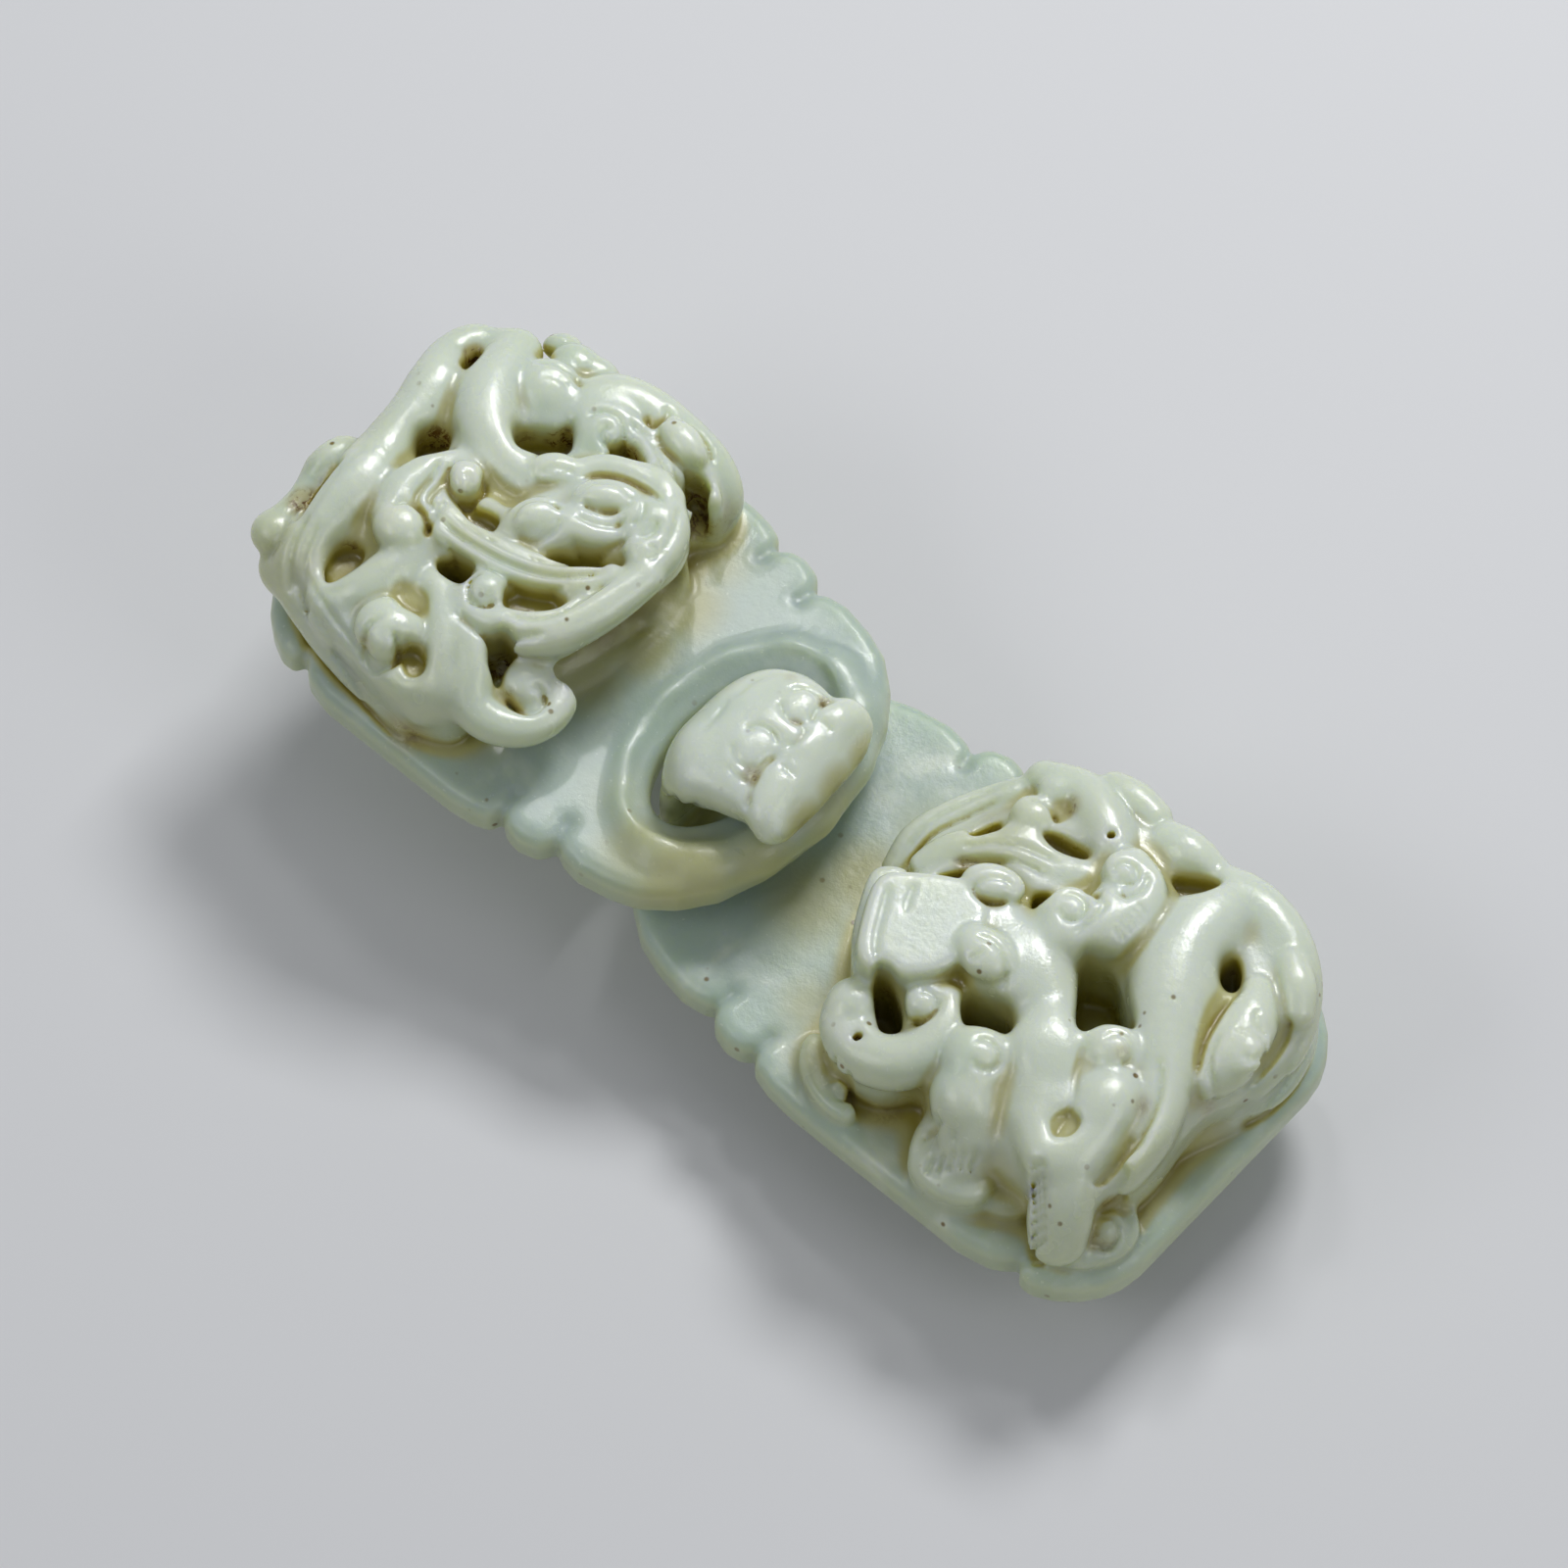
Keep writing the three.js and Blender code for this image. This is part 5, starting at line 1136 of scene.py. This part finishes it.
HOOK_PITS = [
    # Between neck and thick body, behind the head block, inside the curl loop.
    ([(30.4, 9.2), (31.7, 10.6), (33.5, 11), (36.3, 9.2), (39.6, 6.4), (37.4, 4.4), (35.6, 2.6), (32.6, 6)],
     11.6, 0.4, 0.8),
    ([(24.1, -1.8), (25.9, -0.4), (28.6, 0.2), (30.4, -1.8), (28.5, -3.5), (26.2, -4.3)], 11.2, 0.8, 0.8),
    ([(16.5, -6.6), (17.9, -5.8), (20.3, -6.9), (22.0, -9.1), (20.8, -10.5), (18.3, -8.8)], 9.6, 0.3, 0.8),
    # The round dimple.
    ([(42.6, -5.3), (41.5, -4.8), (40.3, -5.6), (40.3, -6.9), (41.4, -7.6), (42.6, -6.9)], 12.2, 11.2, 1.1),
    # Beside the small head, and the recess under the rim knobs.
    ([(41.4, 18.5), (41.9, 19.8), (43.4, 19), (44.3, 17.3), (43.6, 16.5), (42.3, 17)], 11.4, -6.0, 1.2),
    ([(31.4, 22.2), (33.4, 24.0), (35.6, 24.6), (35.4, 22.7), (34, 21.4)], 10.4, 8.2, 1.5),
    # Under the paw, and the narrow slits among the strands.
    ([(21.7, 11.9), (23.1, 13.1), (23.7, 11.8), (22.9, 10.5)], 12.0, 3.0, 0.7),
    ([(18.2, 17.3), (19.5, 18.3), (23.0, 18.6), (23.2, 17.8), (20.5, 16.8)], 10.2, 7.6, 1.2),
    ([(12.8, 12.2), (14, 15.2), (14.8, 14.2), (13.8, 12)], 8.2, 6.2, 0.9),
    ([(13.1, 6.9), (14.3, 8.8), (15.5, 9.7), (15.3, 8.4), (14, 6.8)], 9.8, 5.0, 0.7),
    # Two drilled holes.
    ([(24.0, 21.9), (23.5, 22.3), (23.0, 21.8), (23.5, 21.3)], 12.0, 7.5, 0.3),
    ([(20.1, -12.8), (19.6, -12.3), (19.1, -12.9), (19.6, -13.5)], 9.4, 6.8, 0.4),
]
carve_pits(hook, on_hook, HOOK_PLATE_TOP, HOOK_PITS)

HOOK_LINES = [
    # The nose groove and the edge lines of the main head.
    ([(9.9, 3.0), (11.4, 0.2), (13, -2.6), (14.8, -4.6)], 14.5, 0.34, 0.45),
    ([(11.9, 4.8), (12.4, 3.2), (13.4, 1.4)], 14.5, 0.32, 0.35),
    # Incised rings on the eye ovals, and their lower edges.
    ([(20.2, 10.4), (19, 10.9), (17.3, 9.8), (16.7, 8.2), (18, 7.9), (19.6, 9), (20.2, 10.4)],
     14.4, 0.28, 0.5),
    ([(20.4, 3.9), (22.9, 4.5), (25.2, 3.6), (26.2, 1.8)], 14.8, 0.32, 0.45),
    ([(21.8, 1.6), (22.6, 3.2)], 15, 0.28, 0.35),
    # The double lines on the strands.
    ([(12.4, 10.8), (14.6, 13), (18, 14.8), (22, 15.8)], 10.6, 0.34, 0.5),
    ([(12.9, 9.2), (15, 11.2), (18.4, 13.1), (22, 13.9)], 10.6, 0.34, 0.5),
    ([(9.8, 5.4), (9.6, 9.6), (11, 13.4), (12.8, 17.6)], 7.2, 0.32, 0.5),
    ([(8.6, 6.6), (8.6, 10.4), (10, 14.2), (12, 18.4)], 6.6, 0.32, 0.4),
    ([(14.4, 19.2), (16.2, 20.1), (18.6, 19.3)], 10.4, 0.36, 0.5),
    # The paw: arcs, spirals and the line round its inner dome.
    ([(29.2, 21.2), (30.0, 19.4), (29.6, 17.6), (28, 17.2)], 14, 0.32, 0.5),
    ([(26.2, 18.6), (26.4, 20), (27.8, 20.6), (28.8, 19.6), (28, 18.4)], 14.2, 0.3, 0.5),
    ([(24.4, 12.8), (24.8, 14), (26.4, 14.2), (27.3, 13), (26.7, 11.7), (25.5, 11.7), (25.3, 12.6)],
     14.2, 0.3, 0.55),
    ([(26.4, 16.8), (27.2, 15.6), (28.4, 15), (28.2, 12.6), (27.8, 10.6)], 14.4, 0.34, 0.5),
    ([(25.4, 15.6), (26.8, 15.6), (27.8, 14.6)], 14, 0.3, 0.4),
    # The haunch spirals.
    ([(28.4, -5.4), (29.6, -4.2), (31.4, -4.6), (31.8, -6.2), (30.6, -7.2), (29.6, -6.6)], 13, 0.32, 0.5),
    ([(20.9, -5.1), (21.4, -4.2), (22.8, -4.3), (23.4, -5.5), (22.8, -6.8), (21.6, -6.6)], 11.8, 0.3, 0.5),
    ([(38.2, 3.2), (38.8, 4.8), (40.6, 5), (41.6, 3.6), (40.8, 2.4)], 13.6, 0.3, 0.4),
    # The creases between neck and haunch, haunch and tail, the tail end, and the leg strap.
    ([(36.6, 2.4), (38.2, -0.6), (40.2, -3.6), (41.4, -8.6)], 13.2, 0.36, 0.3),
    ([(43.9, 5.6), (46.4, 2.6), (47.7, -1), (48.2, -5)], 12, 0.36, 0.5),
    ([(49.4, -3), (50, -6.5), (49.3, -10)], 8.5, 0.32, 0.4),
    ([(48.2, -3.5), (48.7, -7), (47.9, -10.4)], 8.5, 0.32, 0.4),
    # The far band, the knob's end, the curls on the plate.
    ([(52, 17.5), (53.4, 13.5), (53.4, 9.6), (52.6, 6.6)], 3.8, 0.32, 0.4),
    ([(53.2, 18), (54.8, 13.5), (54.9, 9.4), (53.8, 6)], 3.4, 0.32, 0.4),
    ([(51.2, 18.6), (52.6, 14), (52.6, 9.8)], 5.4, 0.34, 0.4),
    ([(50.8, -12), (51.8, -10.9), (53.2, -11.6), (53.2, -13.2), (52, -13.6)], 4.4, 0.3, 0.5),
    ([(20.8, -18.8), (21.2, -17.6), (22.6, -17.4), (23.2, -18.6), (22, -19.6)], 3, 0.28, 0.45),
    ([(32.2, -17.8), (33, -16.2), (35, -15.8), (36, -17)], 4.4, 0.3, 0.4),
    # The eye, the mouth and the inner edge of the small head.
    ([(49.2, 13.8), (50.4, 14.2), (51, 12.8), (50.4, 11.6), (49.4, 12)], 13, 0.28, 0.45),
    ([(46.6, 12), (47.4, 9.2), (49.4, 7.6), (51, 8.2)], 12.6, 0.32, 0.45),
    ([(44.9, 18), (45, 14), (46, 10), (47.6, 6.8)], 11.6, 0.36, 0.35),
    ([(47.6, 16.4), (48.6, 15), (50.2, 14.8)], 12.6, 0.3, 0.4),
]


def stroke_row(count, start, step, stroke, rise, fall, width, depth):
    """A row of short parallel strokes, each a step further on and lower than the one before."""
    row = []
    for i in range(count):
        x, y = start[0] + step[0] * i, start[1] + step[1] * i
        row.append(([(x, y), (x + stroke[0], y + stroke[1])], rise - fall * i, width, depth))
    return row


# The short cross strokes: on the flat foot, along the paddle, on the paw.
HOOK_LINES += stroke_row(5, (34.9, -19.8), (0.86, 0.62), (-0.5, 1.7), 4.6, 0, 0.3, 0.5)
HOOK_LINES += stroke_row(8, (43.1, -13.4), (0.72, -0.8), (1.2, 0.95), 7.4, 0.58, 0.3, 0.55)
HOOK_LINES += stroke_row(5, (30.8, 17.4), (0, -0.85), (1.5, -0.3), 13.6, 0, 0.24, 0.35)
carve_lines(hook, on_hook, HOOK_PLATE_TOP, HOOK_LINES)

HEAD_LINES = [
    # Points in plan, width, depth, between two heights: eyelids, bridge, snout and lip lines.
    ([(-0.5, 6.2), (-1.7, 7.1), (-3.4, 6.7), (-4.3, 5.2)], 0.3, 0.5, 27.5, 32.5),
    ([(-0.4, 3.6), (-1.4, 2.9), (-2.9, 3.0), (-4.0, 3.9)], 0.3, 0.45, 27.5, 32.5),
    ([(0.2, 7.4), (-1.6, 8.0), (-3.6, 7.6)], 0.3, 0.3, 26.0, 32.5),
    ([(-0.8, 0.0), (-2.0, 0.5), (-3.6, 0.2), (-4.5, -1.2)], 0.3, 0.45, 27.5, 32.5),
    ([(-0.7, -3.1), (-1.7, -4.0), (-3.4, -3.9), (-4.5, -2.8)], 0.3, 0.35, 27.5, 32.5),
    ([(-0.4, -4.9), (-1.8, -5.2), (-3.4, -4.9)], 0.3, 0.25, 26.0, 32.5),
    ([(-0.4, 7.6), (-0.7, 5.8), (-0.1, 4.0)], 0.34, 0.45, 27.0, 32.0),
    ([(-0.2, -0.6), (-0.5, -3.0), (0.3, -5.4), (1.4, -7.2)], 0.34, 0.45, 27.0, 32.0),
    ([(-0.4, 3.2), (0.3, 2.6), (0.4, 1.2), (-0.2, 0.4)], 0.32, 0.4, 27.0, 32.0),
    ([(2.2, 5.0), (1.4, 4.8), (0.5, 5.0)], 0.4, 0.35, 27.6, 32.0),
    ([(2.9, -1.4), (1.9, -1.5), (0.9, -1.4)], 0.4, 0.35, 27.6, 32.0),
    ([(3.0, 8.0), (3.6, 4.6), (3.9, 1), (4.1, -2.6), (4.4, -4.6)], 0.3, 0.35, 25.4, 28.8),
    ([(-6.2, 7.0), (-7.8, 4.4), (-8.0, 1.0)], 0.32, 0.25, 25.5, 31.0),
    ([(-8.6, 1.4), (-7.8, -1.4), (-7.9, -4.0)], 0.32, 0.25, 25.5, 31.0),
    ([(-10.2, -3.0), (-9.4, -5.8), (-6.8, -8.0), (-3.6, -8.7)], 0.34, 0.5, 22.4, 27.0),
    ([(-9.9, -5.2), (-8.4, -7.8), (-5.8, -9.4)], 0.3, 0.4, 21.5, 26.0),
]
for points, width, depth, low, high in HEAD_LINES:
    incise(hook, points, width, depth, low, high)

HOOK_STAINS = [
    # Place, radius in mm, strength of the brown stain.
    ((14, 14, 5.5), 1.8, 0.7), ((15.1, 8.8, 7.8), 1.5, 0.8), ((23.7, 21.8, 9.2), 1.0, 1.0),
    ((19.7, -12.9, 8.0), 1.1, 1.0), ((18.4, -6, 6.5), 1.6, 0.8), ((52, -13.6, 1.5), 2.2, 0.8),
    ((23.4, 11.4, 8), 1.6, 0.6), ((31.6, -16.2, 2.4), 1.8, 0.7), ((40.8, 3.6, 13.6), 1.4, 0.3),
    ((46, 0, 11), 1.6, 0.4), ((49.8, 4.6, 6), 1.8, 0.7), ((42.6, 18.6, 7), 1.8, 0.6),
    ((34.2, 22.8, 7), 1.4, 0.4), ((18.6, 21.6, 10), 1.3, 0.5), ((27, -17, 0.5), 2.6, 0.4),
    ((52.4, 9.8, 4), 1.3, 0.6), ((49.6, -9.6, 5), 1.6, 0.7),
]
HEAD_STAINS = [(-5.2, 6.8, 28.8, 1.0, 0.4), (-0.9, 6.9, 28.9, 1.1, 0.5), (0.2, 1.9, 29.3, 1.0, 0.6),
               (-0.9, -4.0, 28.8, 1.3, 0.6), (-1.2, 3.0, 29.6, 0.9, 0.5), (0.6, -5.6, 28.2, 1.0, 0.4)]
HOOK_PAINTED_SHADE = [
    # Place, radius in mm, strength of the painted shade, a warm olive for shadow and thin stone.
    ((8.5, 1, 0), 5, 0.8), ((11, 9, 0), 5, 0.5), ((6, -4, 0), 6, 0.6), ((20, -16.5, 1), 5, 0.7),
    ((27, -16, 0.5), 4, 0.6), ((34, -15, 2), 4, 0.8), ((40.5, -13, 4), 4, 1.1), ((44, -17, 1), 3, 0.6),
    ((37, -10.5, 7), 3, 0.9), ((49, -7, 1), 5, 0.7), ((52, 1, 0.5), 4, 0.6), ((17, 13, 7), 7, 0.4),
    ((33, 8, 9), 6, 0.3), ((27, -2, 9), 6, 0.3), ((22, 20, 8), 5, 0.3), ((14, -13, 0.5), 4, 0.5),
]
# Painted shade under the lip and along the neck, at places in the frame itself: x, y, z, radius, strength.
HEAD_PAINTED_SHADE = [(4.6, 6, 25.4, 2.6, 1.2), (5.0, 1.6, 25.4, 3.0, 1.2), (5.0, -3.4, 25.2, 3.0, 1.2),
             (-8, -7.5, 23, 4, 0.5), (-9.5, 0, 22, 4, 0.5), (-9.5, -6, 17, 7, 0.6), (-12, -5, 13, 6, 0.8)]
hook_carving = carved_object("hook_jade", hook, marked(on_hook, HOOK_STAINS) + HEAD_STAINS,
                             marked(on_hook, HOOK_PAINTED_SHADE) + HEAD_PAINTED_SHADE)
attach(hook_carving, "hook_half")
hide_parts("hook_plaque")
HOOK_PLATE_COLOUR = (0.44, 0.55, 0.50)
HOOK_CARVED_COLOUR = (0.65, 0.725, 0.635)
hook_carving.data.materials.append(jade("jade_hook", HOOK_PLATE_TOP, HOOK_PLATE_COLOUR, HOOK_CARVED_COLOUR))

# Table and light
# A plain pale table top. One soft lamp stands high behind the buckle and a small one beside it gives
# the wet highlights. Weak fills stand at the side and in front.
TABLE_SIZE = 6.0
bpy.ops.mesh.primitive_plane_add(size=TABLE_SIZE)
table = bpy.context.object
table.name = "table"
table_finish = bpy.data.materials.new("table_finish")
table_finish.use_nodes = True
tabletop = table_finish.node_tree.nodes["Principled BSDF"]
tabletop.inputs["Base Color"].default_value = (0.72, 0.73, 0.75, 1)
tabletop.inputs["Roughness"].default_value = 0.8
table.data.materials.append(table_finish)


def lamp(name, place, aim, size, power):
    """A soft oblong lamp that faces a point."""
    data = bpy.data.lights.new(name, "AREA")
    data.shape = "RECTANGLE"
    data.size, data.size_y = size
    data.energy = power
    holder = bpy.data.objects.new(name, data)
    bpy.context.scene.collection.objects.link(holder)
    holder.location = place
    from_aim = holder.location - type(holder.location)(aim)
    holder.rotation_euler = from_aim.to_track_quat("Z", "Y").to_euler()


lamp("key", (-0.10, 0.42, 0.55), (0, 0, 0.02), (0.22, 0.16), 2.5)
lamp("sheen", (-0.228, 0.214, 0.55), (-0.02, 0, 0.02), (0.07, 0.06), 0.26)
lamp("side", (0.55, 0.05, 0.42), (0, 0, 0.02), (0.25, 0.35), 0.5)
lamp("front", (-0.30, -0.55, 0.60), (0, 0, 0.02), (0.5, 0.3), 1.0)

world = bpy.data.worlds.new("studio")
bpy.context.scene.world = world
world.use_nodes = True
air = world.node_tree.nodes["Background"]
air.inputs["Color"].default_value = (0.86, 0.88, 0.92, 1)
air.inputs["Strength"].default_value = 0.24
